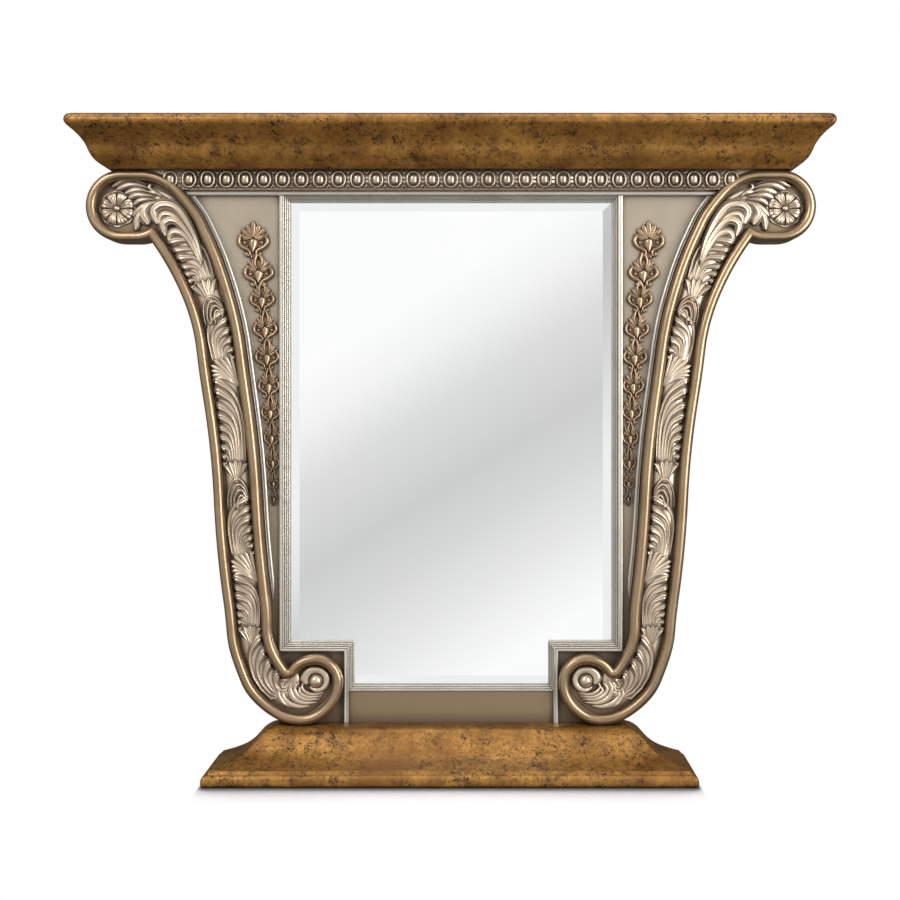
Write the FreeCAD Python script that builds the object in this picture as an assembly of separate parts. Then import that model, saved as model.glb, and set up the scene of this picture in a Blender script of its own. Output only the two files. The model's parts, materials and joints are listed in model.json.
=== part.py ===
import FreeCAD, Part
import math
import os

# Landscape wall mirror with a deep cornice, a bead-and-oval frieze, two carved scroll stiles,
# trapezoid side panels with palmette drops, a notched stepped sight moulding and an ogee base.
# X runs to the right, Y to the back, Z up. The origin is the middle of the part's footprint.
# The right half is modelled and mirrored. A setback is measured from the front of the base.

V = FreeCAD.Vector

# Overall sizes
overall_height = 1198.0
carcass_depth = 171.0
overrun = 60.0
fit_gap = 0.05
hair = 1e-6

# Cornice
cornice_height = 90.7
cornice_overhang = 17.5
cornice_setback = 41.0
cornice_run = 65.0
cornice_lip = 22.0
cornice_lap = 10.0
cornice_board = 9.0
cornice_rail = 12.0
cornice_rib = 18.0
cornice_rib_count = 5

# Frieze and head bar
frieze_height = 35.8
frieze_setback = 122.0
frieze_board = 12.0
oval_spacing = 33.9
oval_margin = 16.0
oval_width = 28.0
oval_height = 31.0
oval_rise = 3.0
cabochon_width = 13.4
cabochon_height = 16.7
cabochon_rise = 5.0
oval_sides = 8
cabochon_sides = 6
head_bar_height = 9.0

# Scroll stiles
scroll_width = 473.9
scroll_foot_height = 230.4
scroll_head_height = 245.4
rim_width = 18.5
rim_rise = 9.2
round_sides = 3
rim_setback = 116.0
channel_depth = 12.8
leaf_rise = 14.0
leaf_width = 40.0
rosette_radius = 32.0
rosette_rise = 9.0
rosette_boss = 4.6
petal_count = 8
ball_sides = 10
eye_radius = 12.2
eye_gap = 1.3
roll_width = 12.0
roll_rise = 9.6
eye_lift = 7.7

# Side panels
panel_setback = 146.0
bead_width = 7.5
bead_rise = 3.6
bead_margin = 1.0
palmette_rise = 6.0
palmette_lobes = 4
palmette_pitch = 53.0
palmette_start = 88.0

# Sight moulding and mirror glass
opening_width = 601.0
notch_width = 119.9
notch_height = 82.9
apron_height = 58.8
step_run = 9.0
step_count = 3
bar_width = 9.0
bar_setback = 137.0
step_setback = 143.0
glass_setback = 160.0
glass_thickness = 5.0
glass_lap = 7.5
glass_bevel = 25.0
glass_edge = 3.0
corner_setback = 150.0

# Rear frame and fittings
rear_stile_width = 60.0
clip_length = 36.0
clip_width = 16.0
clip_thickness = 1.5
clip_count_side = 4
clip_slot = 4.0
clip_foot = 132.0
clip_head = 41.0
screw_radius = 1.7
screw_head_radius = 3.6
screw_head_rise = 1.6
screw_length = 9.0
screw_sides = 4
screw_crown_share = 0.7
hanger_inset = 42.5
hanger_drop = 150.0
strap_width = 16.0
strap_length = 44.0
strap_thickness = 1.5
ring_wire = 2.2
ring_gap = 0.3
ring_half_width = 14.0
ring_height = 30.0
hanger_screw_shares = (0.45, 0.88)
bow_bends = 5
wire_sides = 8
bumper_radius = 11.0
bumper_height = 8.0
bumper_inset = 101.4

# Base
base_height = 84.8
base_reach = 239.7
base_run = 116.3
base_board = 12.0
base_floor = 9.0
base_foot = 26.0
base_wall = 18.8
base_rail = 12.0
base_rib = 18.0
base_rib_count = 5

# Places worked out from the sizes
part_depth = carcass_depth + bumper_height
front_y = -part_depth / 2
back_y = front_y + carcass_depth
cornice_bottom = overall_height - cornice_height
frieze_bottom = cornice_bottom - frieze_height
head_bar_bottom = frieze_bottom - head_bar_height
opening_top = head_bar_bottom - step_run
opening_bottom = base_height + apron_height + step_run
notch_top = opening_bottom + notch_height
opening_half_width = opening_width / 2
notch_half_width = opening_half_width - notch_width
step_half = opening_half_width + step_run
bar_half = step_half + bar_width
ledge_bottom = notch_top - step_run - bar_width
post_half = notch_half_width + step_run + bar_width
rim_base = rim_setback + rim_rise
channel_floor = rim_base + channel_depth
scroll_outer_half = post_half + scroll_width
half_width = scroll_outer_half + cornice_overhang
base_half_width = post_half + base_reach
scroll_height = cornice_bottom - base_height
glass_half_width = opening_half_width + glass_lap
glass_top = opening_top + glass_lap
glass_bottom = opening_bottom - glass_lap
ring_outer = ring_wire + ring_gap + strap_thickness


# Scroll outline: shares of the stile's width, then heights where 0 to 1 is the foot, 1 to 2 the
# shaft and 2 to 3 the head, each with an optional heading. The first stretch runs from the outer
# notch round the top volute to the inner valley.
upper_scroll_shares = (
    (0.7521, 2.481, None),
    (0.8607, 2.461, (1, 0)),
    (1.0000, 2.730, (0, 1)),
    (0.8607, 3.000, (-1, 0)),
    (0.7100, 2.971, None),
    (0.5668, 2.716, None),
    (0.5113, 2.509, None),
    (0.4222, 2.025, None),
    (0.3562, 1.674, None),
    (0.2836, 1.000, None),
    (0.2560, 0.591, None),
    (0.2142, 0.452, None),
)
# The second stretch runs from the valley round the lower volute and up to the notch.
lower_scroll_shares = (
    (0.2142, 0.452, None),
    (0.1074, 0.564, (-1, 0)),
    (0.0000, 0.340, (0, -1)),
    (0.0673, 0.090, None),
    (0.1629, 0.000, (1, 0)),
    (0.3526, 0.200, None),
    (0.4296, 0.520, None),
    (0.4661, 1.000, None),
    (0.5431, 1.674, None),
    (0.6170, 2.008, None),
    (0.7521, 2.481, None),
)
# Middle of the carved channel from the rosette down to the eye, then each leaf's width.
spine_shares = (
    (0.7650, 2.658, 0.95),
    (0.6600, 2.567, 1.44),
    (0.5800, 2.292, 1.18),
    (0.5220, 1.993, 1.02),
    (0.4760, 1.832, 0.98),
    (0.4430, 1.652, 0.98),
    (0.4160, 1.473, 0.98),
    (0.3960, 1.293, 0.94),
    (0.3790, 1.114, 0.98),
    (0.3600, 0.843, 0.80),
    (0.3180, 0.466, 0.92),
    (0.2420, 0.200, 0.70),
    (0.1350, 0.138, 0.00),
)
rosette_place_shares = (0.8830, 2.715)
eye_place_shares = (0.1066, 0.350)

# Leaf outline, one side, as shares of its length and width.
leaf_shares = (
    (0.00, 0.12),
    (0.14, 0.42),
    (0.28, 0.31),
    (0.48, 0.50),
    (0.60, 0.34),
    (0.76, 0.36),
    (0.97, 0.00),
)
# Radii and lifts of the frieze's cups and stones.
cup_shares = ((1.00, 0.00), (0.88, 1.00), (0.70, 0.30))
gem_shares = ((1.00, 0.00), (0.60, 1.00))
# Radii of petal tips and creases, then the disc's and the ball's radii and lifts.
petal_shares = (0.91, 1.00)
disc_shares = ((1.00, 0.00), (0.92, 1.00), (0.30, 0.60))
boss_seat_share = 0.5
ball_shares = ((1.00, 0.00), (0.86, 0.50), (0.50, 0.86), (0.12, 1.00))
# The leaf's crest, as shares of its width and length.
leaf_crest_shares = (0.34, 0.84)
# Radii of the palmette's lobes and hollows, its curls and bud, and its crest.
fan_shares = (1.00, 0.82)
curl_shares = (
    (-0.98, -0.14),
    (-0.40, -0.58),
    (-0.42, -0.92),
    (0.00, -0.80),
    (0.42, -0.92),
    (0.40, -0.58),
    (0.98, -0.14),
)
palmette_crest_share = 0.45
# Each palmette's half width as a share of the panel's room there, the distance to the next,
# and its half height as a share of that distance.
palmette_centre_share = 0.48
palmette_height_share = 0.50
taper_shares = (0.25, 0.31, 0.31, 0.35, 0.41, 0.42, 0.43, 0.40, 0.38, 0.36, 0.32)
pitch_shares = (1.08, 0.96, 1.03, 0.98, 1.01, 0.92, 0.89, 0.86, 0.72, 0.52, 0.50)
# Width of the roll from its round end over the top and under the eye, and how far it turns.
roll_shares = (1.25, 1.30, 1.05, 0.95, 1.00, 1.05, 0.85, 0.55, 0.22)
roll_turn_shares = (-0.056, 0.732)
roll_section_shares = ((0.0, 0.0), (0.1, 0.6), (0.5, 1.0), (0.9, 0.6), (1.0, 0.0))

# Moulding profiles, as shares of run and height, from the widest line in.
cornice_shares = (
    ((0.169, 1.000), (0.000, 0.879), (0.051, 0.757)),
    ((0.051, 0.757), (0.360, 0.545), (0.480, 0.430)),
    ((0.480, 0.430), (0.620, 0.182), (1.000, 0.000)),
)
base_shares = (
    ((0.034, 0.000), (0.000, 0.120), (0.050, 0.240)),
    ((0.100, 0.283), (0.118, 0.300), (0.149, 0.331)),
    ((0.149, 0.331), (0.475, 0.492), (0.690, 0.735)),
    ((0.690, 0.735), (0.850, 0.935), (1.000, 1.000)),
)


def at(setback):
    """The Y of a plane that lies this far behind the front of the base."""
    return front_y + setback


def slab(x0, x1, y0, y1, z0, z1):
    return Part.makeBox(x1 - x0, y1 - y0, z1 - z0, V(x0, y0, z0))


def closed_wire(points):
    return Part.makePolygon(list(points) + [points[0]])


def prism_y(points, y0, y1):
    """An X-Z polygon pushed back from y0 to y1."""
    outline = closed_wire([V(x, y0, z) for x, z in points])
    return Part.Face(outline).extrude(V(0, y1 - y0, 0))


def prism_x(points, x0, x1):
    """A Y-Z polygon pushed from x0 to x1."""
    outline = closed_wire([V(x0, y, z) for y, z in points])
    return Part.Face(outline).extrude(V(x1 - x0, 0, 0))


def mirrored(shape):
    return shape.mirror(V(0, 0, 0), V(1, 0, 0))


def group(solids):
    return Part.Compound([s for shape in solids for s in shape.Solids])


def spread(count, low, high):
    """Evenly spaced places from low to high."""
    return [low + (high - low) * i / (count - 1) for i in range(count)]


# Planar geometry of the scroll: points and directions are (x, z) pairs.
def unit(v):
    size = math.hypot(v[0], v[1])
    return (v[0] / size, v[1] / size)


def plus(p, v, k=1):
    return (p[0] + v[0] * k, p[1] + v[1] * k)


def left_of(t):
    return (-t[1], t[0])


def dot(a, b):
    return a[0] * b[0] + a[1] * b[1]


def between(p, q):
    return (q[0] - p[0], q[1] - p[1])


def arc_from(p, t, q):
    """The arc that leaves p along t and ends at q: its three points and their left normals."""
    chord = between(p, q)
    n = left_of(t)
    bend = 2 * dot(n, chord) / dot(chord, chord)
    if abs(bend) * math.hypot(chord[0], chord[1]) < hair:
        return [(p, n), (plus(p, chord, 0.5), n), (q, n)]
    centre = plus(p, n, 1 / bend)
    side = unit(between(centre, plus(p, chord, 0.5)))
    middle = plus(centre, side, abs(1 / bend))
    points = [p, middle, q]
    return [(w, (bend * (centre[0] - w[0]), bend * (centre[1] - w[1]))) for w in points]


def heading_at(a, b, c, where):
    """Direction at one of three points of the circle through them, from a towards c."""
    ab = between(a, b)
    bc = between(b, c)
    ac = between(a, c)
    d = 2 * (ab[0] * ac[1] - ab[1] * ac[0])
    if abs(d) < hair * dot(ac, ac):
        return unit(ac)
    ab2 = dot(ab, ab)
    ac2 = dot(ac, ac)
    centre = (a[0] + (ac[1] * ab2 - ab[1] * ac2) / d, a[1] + (ab[0] * ac2 - ac[0] * ab2) / d)
    t = left_of(unit(between(centre, where)))
    along = ab if where == a else (bc if where == c else ac)
    return t if dot(t, along) > 0 else (-t[0], -t[1])


def smooth_chain(points, headings):
    """Tangent arcs, two to a span, through the points."""
    last = len(points) - 1
    tangents = []
    for i, p in enumerate(points):
        j = min(max(i, 1), last - 1)
        estimate = heading_at(points[j - 1], points[j], points[j + 1], p)
        tangents.append(headings[i] or estimate)
    arcs = []
    for i in range(last):
        p, q = points[i], points[i + 1]
        s, t = tangents[i], tangents[i + 1]
        v = between(p, q)
        a = 2 * (1 - dot(s, t))
        b = dot(v, s) + dot(v, t)
        c = dot(v, v)
        reach = c / (2 * b) if a < hair else (math.sqrt(b * b + a * c) - b) / a
        joint = plus(plus(p, s, reach), between(plus(p, s, reach), plus(q, t, -reach)), 0.5)
        arcs.append(arc_from(p, s, joint))
        middle_heading = unit(between(plus(p, s, reach), plus(q, t, -reach)))
        arcs.append(arc_from(joint, middle_heading, q))
    return arcs


def scroll_place(shares):
    """A point of the stile from its share of the width and its place in foot, shaft and head."""
    shaft_height = scroll_height - scroll_foot_height - scroll_head_height
    z = base_height
    for stage, height in enumerate((scroll_foot_height, shaft_height, scroll_head_height)):
        z += height * min(max(shares[1] - stage, 0), 1)
    return (post_half + shares[0] * scroll_width, z)


def chain_of(table):
    return smooth_chain([scroll_place(row) for row in table], [row[2] for row in table])


upper_chain = chain_of(upper_scroll_shares)
lower_chain = chain_of(lower_scroll_shares)
notch, notch_normal = upper_chain[0][0]
valley, valley_normal = lower_chain[0][0]


def arc_edge(arc, inset, y):
    """One arc of the outline, moved in by inset."""
    p, m, q = [V(w[0] + n[0] * inset, y, w[1] + n[1] * inset) for w, n in arc]
    straight = (q - p).cross(m - p).Length < hair * (q - p).Length ** 2
    if straight:
        return Part.LineSegment(p, q).toShape()
    return Part.Arc(p, m, q).toShape()


def mitre_stretch(inset):
    """How far the two stretches run past the notch before they meet."""
    arriving = lower_chain[-1][2][1]
    turn = math.acos(dot(arriving, notch_normal))
    return inset * math.tan(turn / 2)


def line_edge(p, q, y):
    return Part.LineSegment(V(p[0], y, p[1]), V(q[0], y, q[1])).toShape()


def notch_ends(inset, stretch):
    """Where the lower stretch ends and the upper one starts, each run on past the notch."""
    arriving = lower_chain[-1][2][1]
    arriving_heading = (arriving[1], -arriving[0])
    leaving_heading = (notch_normal[1], -notch_normal[0])
    end = plus(notch, arriving, inset)
    start = plus(notch, notch_normal, inset)
    return end, plus(end, arriving_heading, stretch), plus(start, leaving_heading, -stretch), start


def valley_edge(inset, y):
    """The round join of the inset outline at the valley."""
    arriving = upper_chain[-1][2][1]
    middle = unit(plus(arriving, valley_normal))
    points = [plus(valley, n, inset) for n in (arriving, middle, valley_normal)]
    return Part.Arc(*[V(x, y, z) for x, z in points]).toShape()


def scroll_wire(inset, y):
    """The closed outline of the stile, moved in by inset."""
    edges = [arc_edge(arc, inset, y) for arc in upper_chain]
    if inset:
        edges.append(valley_edge(inset, y))
    edges += [arc_edge(arc, inset, y) for arc in lower_chain]
    if inset:
        end, corner, _, start = notch_ends(inset, mitre_stretch(inset))
        edges.append(line_edge(end, corner, y))
        edges.append(line_edge(corner, start, y))
    return Part.Wire(edges)


def scroll_prism(inset, y0, y1):
    return Part.Face(scroll_wire(inset, y0)).extrude(V(0, y1 - y0, 0))


def panel_arcs():
    """The arcs of the stile's inner edge, from the top of the volute to the valley."""
    return upper_chain[2 * [row[2] for row in upper_scroll_shares].index((-1, 0)):]


def outside_of_panels():
    """All that lies beyond the inner edge of the stile, for trimming what butts against it."""
    y = at(0) - overrun
    edges = [arc_edge(arc, 0, y) for arc in panel_arcs()]
    top = panel_arcs()[0][0][0]
    low = (half_width, valley[1])
    high = (half_width, top[1])
    edges.append(line_edge(valley, low, y))
    edges.append(line_edge(low, high, y))
    edges.append(line_edge(high, top, y))
    return Part.Face(Part.Wire(edges)).extrude(V(0, part_depth + 2 * overrun, 0))


# Mouldings: a Y-Z profile run along X or an X-Y profile run along Z, cut to a mitred plan.
def scaled(arcs, run, height):
    return [[(u * run, w * height) for u, w in arc] for arc in arcs]


def cornice_profile():
    """Distance in from the widest line, and height over the cornice's bottom."""
    arcs = scaled(cornice_shares, cornice_run, cornice_height)
    tail = [(cornice_run + cornice_lap, 0), (cornice_lip, cornice_height), arcs[0][0]]
    return arcs, tail


def base_profile():
    """Distance in from the widest line, and height over the floor."""
    arcs = scaled(base_shares, base_run, base_height)
    tail = [(base_run, base_height - base_wall), (base_foot, 0), arcs[0][0]]
    return arcs, tail


def profile_face(profile, place):
    """A face from arcs and straight runs; place turns a (run, rise) pair into a point."""
    arcs, tail = profile
    edges = []
    pen = None
    for p, m, q in arcs:
        if pen and pen != p:
            edges.append(Part.LineSegment(place(pen), place(p)).toShape())
        edges.append(Part.Arc(place(p), place(m), place(q)).toShape())
        pen = q
    for q in tail:
        edges.append(Part.LineSegment(place(pen), place(q)).toShape())
        pen = q
    return Part.Face(Part.Wire(edges))


def mitred_trim(profile, half, setback, run, z0):
    """The front length and the right return of a moulding with mitred front corners."""
    y0 = at(setback)
    run_back = carcass_depth - setback
    front = profile_face(profile, lambda p: V(-half, y0 + p[0], z0 + p[1]))
    front = front.extrude(V(2 * half, 0, 0))
    side = profile_face(profile, lambda p: V(half - p[0], y0, z0 + p[1]))
    side = side.extrude(V(0, run_back, 0))
    top = z0 + overall_height
    plan = [(-half, 0), (half, 0), (half - run, run), (run - half, run)]
    plan_wire = closed_wire([V(x, y0 + d, z0) for x, d in plan])
    wedge = Part.Face(plan_wire).extrude(V(0, 0, top - z0))
    plan = [(half, 0), (half, run_back), (half - run, run_back), (half - run, run)]
    plan_wire = closed_wire([V(x, y0 + d, z0) for x, d in plan])
    side_wedge = Part.Face(plan_wire).extrude(V(0, 0, top - z0))
    return front.common(wedge), side.common(side_wedge)


def hollow_level(half, setback, inset, z):
    """The plan inside a moulding at a height, open to the back."""
    x = half - inset
    y = at(setback + inset)
    return [V(-x, y, z), V(x, y, z), V(x, back_y, z), V(-x, back_y, z)]


def cornice_inset(z):
    """How far the cornice's inner face lies in from its widest line at a height."""
    foot = cornice_run + cornice_lap
    return cornice_lip + (foot - cornice_lip) * (overall_height - z) / cornice_height


def cornice_level(z):
    return hollow_level(half_width, cornice_setback, cornice_inset(z), z)


def build_cornice(parts):
    foot = cornice_run + cornice_lap
    trim, side = mitred_trim(cornice_profile(), half_width, cornice_setback, foot, cornice_bottom)
    z0 = cornice_bottom + cornice_board
    z1 = overall_height - cornice_board
    half = half_width - foot
    rail_y = back_y - cornice_rail
    parts["cornice_front"] = trim
    parts["cornice_return_right"] = side
    parts["cornice_return_left"] = mirrored(side)
    parts["cornice_soffit"] = stepped([cornice_level(cornice_bottom), cornice_level(z0)])
    parts["cornice_top_board"] = stepped([cornice_level(z1), cornice_level(overall_height)])
    parts["cornice_rear_rail"] = slab(-half, half, rail_y, back_y, z0, z1)
    outline = [(at(cornice_setback + cornice_inset(z0)), z0), (rail_y, z0), (rail_y, z1),
               (at(cornice_setback + cornice_inset(z1)), z1)]
    reach = half - cornice_rib
    ribs = [prism_x(outline, x - cornice_rib / 2, x + cornice_rib / 2)
            for x in spread(cornice_rib_count, -reach, reach)]
    parts["cornice_ribs"] = group(ribs)


def base_inset(z):
    """How far the base's inner face lies in from its widest line at a height."""
    return base_foot + (base_run - base_foot) * z / (base_height - base_wall)


def base_level(z):
    return hollow_level(base_half_width, 0, base_inset(z), z)


def build_base(parts):
    trim, side = mitred_trim(base_profile(), base_half_width, 0, base_run, 0)
    half = base_half_width - base_run
    inner_y = at(base_run)
    rail_y = back_y - base_rail
    z1 = base_height - base_board
    parts["base_front"] = trim
    parts["base_return_right"] = side
    parts["base_return_left"] = mirrored(side)
    parts["base_floor"] = stepped([base_level(0), base_level(base_floor)])
    parts["base_top_board"] = slab(-half, half, inner_y, back_y, z1, base_height)
    parts["base_rear_rail"] = slab(-half, half, rail_y, back_y, base_floor, z1)
    outline = [(at(base_inset(base_floor)), base_floor), (rail_y, base_floor), (rail_y, z1),
               (inner_y, z1), (inner_y, base_height - base_wall)]
    reach = half - base_rib
    ribs = [prism_x(outline, x - base_rib / 2, x + base_rib / 2)
            for x in spread(base_rib_count, -reach, reach)]
    parts["base_ribs"] = group(ribs)


def loop_at(x, z, y, width, height, sides):
    """A many-sided oval in the plane at y."""
    turns = [2 * math.pi * (i + 0.5) / sides for i in range(sides)]
    spots = [(x + width / 2 * math.cos(a), z + height / 2 * math.sin(a)) for a in turns]
    return [V(px, y, pz) for px, pz in spots]


def stepped(outlines, flat=True):
    """A solid that steps from one outline to the next; panels that don't lie flat are split."""
    faces = [Part.Face(closed_wire(outlines[0])), Part.Face(closed_wire(outlines[-1]))]
    for low, high in zip(outlines, outlines[1:]):
        for i in range(len(low)):
            a, b, c, d = low[i - 1], low[i], high[i], high[i - 1]
            panels = [[a, b, c, d]] if flat else [[a, b, c], [a, c, d]]
            faces += [Part.Face(closed_wire(points)) for points in panels]
    shell = Part.Shell(faces)
    shell.sewShape()
    return Part.Solid(shell)


def oval_cup(x, z):
    """A bevelled oval cup with a barrel cabochon in it."""
    y = at(frieze_setback)
    cup = stepped([
        loop_at(x, z, y - oval_rise * lift, oval_width * share, oval_height * share, oval_sides)
        for share, lift in cup_shares])
    y -= oval_rise * cup_shares[-1][1]
    gem = stepped([
        loop_at(x, z, y - cabochon_rise * lift, cabochon_width * share,
                cabochon_height * share, cabochon_sides)
        for share, lift in gem_shares])
    return [cup, gem]


def build_frieze(parts, beyond):
    y = at(frieze_setback)
    reach = scroll_outer_half
    board = slab(-reach, reach, y, y + frieze_board, frieze_bottom, cornice_bottom)
    parts["frieze_board"] = board.cut(beyond).cut(mirrored(beyond))
    middle = (frieze_bottom + cornice_bottom) / 2
    ovals = []
    last = int((edge_x(middle) - oval_margin) / oval_spacing)
    for i in range(-last, last + 1):
        ovals += oval_cup(i * oval_spacing, middle)
    parts["frieze_ovals"] = group(ovals)
    bar_y = at(bar_setback)
    bar = slab(-reach, reach, bar_y, back_y, head_bar_bottom, frieze_bottom)
    bar = bar.makeFillet(bar_width / 3, [e for e in bar.Edges if front_long_edge(e, bar_y)])
    parts["head_bar"] = bar.cut(beyond).cut(mirrored(beyond))
    rail = slab(-reach, reach, y + frieze_board, back_y, frieze_bottom, cornice_bottom)
    parts["top_rail"] = rail.cut(beyond).cut(mirrored(beyond))


def front_long_edge(edge, y):
    box = edge.BoundBox
    return box.YMax < y + fit_gap and box.XLength > box.ZLength


def half_round(centre, normal, width, rise, y):
    """A many-sided half round that stands on the plane at y."""
    crest = math.sin(math.pi * (round_sides // 2) / round_sides)
    points = []
    for a in spread(round_sides + 1, 0, math.pi):
        out = width / 2 * math.cos(a)
        points.append(V(centre[0] + normal[0] * out, y - rise * math.sin(a) / crest,
                        centre[1] + normal[1] * out))
    return Part.Face(closed_wire(points))


def half_round_arc(arc, inset, width, rise, y):
    """The half round turned along one arc of the outline."""
    p, n = arc[0]
    q, last = arc[2]
    section = half_round(plus(p, n, inset), n, width, rise, y)
    chord = between(p, q)
    if abs(dot(n, chord)) < fit_gap * fit_gap:
        return section.extrude(V(chord[0], 0, chord[1]))
    centre = plus(p, n, dot(chord, chord) / (2 * dot(n, chord)))
    swing = math.degrees(math.asin(n[0] * last[1] - n[1] * last[0]))
    return section.revolve(V(centre[0], y, centre[1]), V(0, -1, 0), swing)


def half_round_line(p, q, normal, width, rise, y):
    section = half_round(p, normal, width, rise, y)
    return section.extrude(V(q[0] - p[0], 0, q[1] - p[1]))


def notch_cutter(towards, y):
    """A block on one side of the notch's mitre plane."""
    arriving = lower_chain[-1][2][1]
    m = unit(plus(arriving, notch_normal))
    away = left_of(m) if towards > 0 else left_of(left_of(left_of(m)))
    reach = overrun
    low = plus(notch, m, -reach)
    high = plus(notch, m, reach)
    block = [low, high, plus(high, away, reach), plus(low, away, reach)]
    return prism_y(block, y - 2 * rim_rise, y + rim_rise)


def scroll_rim():
    """The half round that loops round the whole stile, mitred at the notch."""
    y = at(rim_base)
    half = rim_width / 2
    size = (rim_width, rim_rise, y)
    end, end_on, start_back, start = notch_ends(half, mitre_stretch(rim_width) + rim_rise)
    arriving = lower_chain[-1][2][1]
    lead_in = half_round_line(start_back, start, notch_normal, *size).cut(notch_cutter(1, y))
    lead_out = half_round_line(end, end_on, arriving, *size).cut(notch_cutter(-1, y))
    runs = [half_round_arc(arc, half, *size) for arc in upper_chain + lower_chain]
    first, last = runs[0], runs[-1]
    runs[0] = first.cut(notch_cutter(1, y))
    runs[-1] = last.cut(notch_cutter(-1, y))
    arriving = upper_chain[-1][2][1]
    swing = math.degrees(math.acos(dot(arriving, valley_normal)))
    fan = half_round(plus(valley, arriving, half), arriving, *size)
    fan = fan.revolve(V(valley[0], y, valley[1]), V(0, 1, 0), swing)
    return lead_in.multiFuse(runs + [fan, lead_out]).removeSplitter()


def scroll_body():
    body = scroll_prism(0, at(rim_base), back_y)
    channel = scroll_prism(rim_width, at(rim_base) - overrun, at(channel_floor))
    rebate = slab(0, step_half, at(glass_setback), back_y + overrun, 0, head_bar_bottom)
    return body.cut(channel).cut(rebate).cut(corner_board())


def corner_board():
    """The board beside the notch, which runs on behind the lower volute."""
    return slab(post_half, bar_half, at(corner_setback), at(glass_setback), base_height, ledge_bottom)


def leaf(root, tip, width):
    """A lobed leaf that stands on the channel's floor and rises to its crest."""
    along = between(root, tip)
    across = left_of(unit(along))
    loop = list(leaf_shares) + [(u, -w) for u, w in reversed(leaf_shares) if w]
    floor = at(channel_floor)

    def level(narrow, shorten, rise):
        points = []
        for u, w in loop:
            spot = plus(root, along, (1 + (2 * u - 1) * shorten) / 2)
            spot = plus(spot, across, w * width * narrow)
            points.append(V(spot[0], floor - rise, spot[1]))
        return points

    return stepped([level(1, 1, 0), level(*leaf_crest_shares, leaf_rise)], flat=False)


def acanthus():
    leaves = []
    for upper, lower in zip(spine_shares, spine_shares[1:]):
        root = scroll_place(lower)
        tip = scroll_place(upper)
        leaves.append(leaf(root, tip, leaf_width * upper[2]))
    return group(leaves)


def ball(x, z, y, radius, lift):
    """A many-sided ball that stands on the plane at y, its middle lifted off it."""
    loops = [loop_at(x, z, y, 2 * radius, 2 * radius, ball_sides)]
    for scale, height in ball_shares:
        wide = 2 * radius * scale
        loops.append(loop_at(x, z, y - lift - height * radius, wide, wide, ball_sides))
    return stepped(loops)


def rosette():
    """A round flower of equal petals with a ball at its centre."""
    x, z = scroll_place(rosette_place_shares)
    y = at(channel_floor)
    turns = [math.pi * i / petal_count for i in range(2 * petal_count)]

    def level(scale, lift):
        points = []
        for i, a in enumerate(turns):
            r = rosette_radius * petal_shares[i % 2] * scale
            points.append(V(x + r * math.cos(a), y - lift, z + r * math.sin(a)))
        return points

    disc = stepped([level(scale, rosette_rise * height) for scale, height in disc_shares])
    seat = rosette_rise * boss_seat_share
    return disc.fuse(ball(x, z, y - seat, rosette_boss, seat / 2))


def volute_roll():
    """The roll that curls over the eye and thins out under it."""
    x, z = scroll_place(eye_place_shares)
    y = at(channel_floor)
    inner = eye_radius + eye_gap
    start, finish = roll_turn_shares
    turns = spread(len(roll_shares), 2 * math.pi * start, 2 * math.pi * finish)
    sections = []
    for a, share in zip(turns, roll_shares):
        points = []
        for u, w in roll_section_shares:
            r = inner + roll_width * share * u
            rise = roll_rise * min(1, share) * w
            points.append(V(x + r * math.cos(a), y - rise, z + r * math.sin(a)))
        sections.append(points)
    return stepped(sections, flat=False)


def volute_eye():
    x, z = scroll_place(eye_place_shares)
    return ball(x, z, at(channel_floor), eye_radius, eye_lift)


def build_scrolls(parts):
    pieces = {
        "scroll_body": scroll_body(),
        "scroll_rim": scroll_rim(),
        "acanthus_carving": acanthus(),
        "rosette": rosette(),
        "volute_eye": volute_eye(),
        "volute_roll": volute_roll(),
    }
    for name, shape in pieces.items():
        parts[name + "_right"] = shape
        parts[name + "_left"] = mirrored(shape)


def edge_x(z):
    """Half width of the stile's inner edge at a height."""
    for arc in panel_arcs():
        p, q = arc[0][0], arc[2][0]
        if q[1] <= z <= p[1]:
            return p[0] + (q[0] - p[0]) * (z - p[1]) / (q[1] - p[1])


def panel_bead():
    """A half round beside the stile, from the head bar to the foot of the panel."""
    y = at(panel_setback)
    inset = -bead_margin - bead_width / 2
    arcs = [a for a in panel_arcs() if ledge_bottom < a[2][0][1] < head_bar_bottom]
    runs = [half_round_arc(a, inset, bead_width, bead_rise, y) for a in arcs]
    limit = slab(bar_half, half_width, y - overrun, y, 0, head_bar_bottom)
    return runs[0].multiFuse(runs[1:]).common(limit).removeSplitter()


def palmette(x, z, half, tall, y):
    """A fan of lobes over a bud and two curls, from its half width and half height."""
    points = []
    for i in range(2 * palmette_lobes - 1):
        a = math.pi * i / (2 * palmette_lobes - 2)
        points.append((fan_shares[i % 2] * math.cos(a), fan_shares[i % 2] * math.sin(a)))
    points += curl_shares

    def level(scale, lift):
        return [V(x + half * u * scale, y - lift, z + tall * w * scale) for u, w in points]

    return stepped([level(1, 0), level(palmette_crest_share, palmette_rise)])


def palmette_drop():
    z = head_bar_bottom - palmette_start
    solids = []
    for size, pitch in zip(taper_shares, pitch_shares):
        room = edge_x(z) - bead_margin - bead_width - bar_half
        middle = bar_half + room * palmette_centre_share
        step = palmette_pitch * pitch
        solids.append(palmette(middle, z, room * size, step * palmette_height_share, at(panel_setback)))
        z -= step
    return group(solids)


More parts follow.
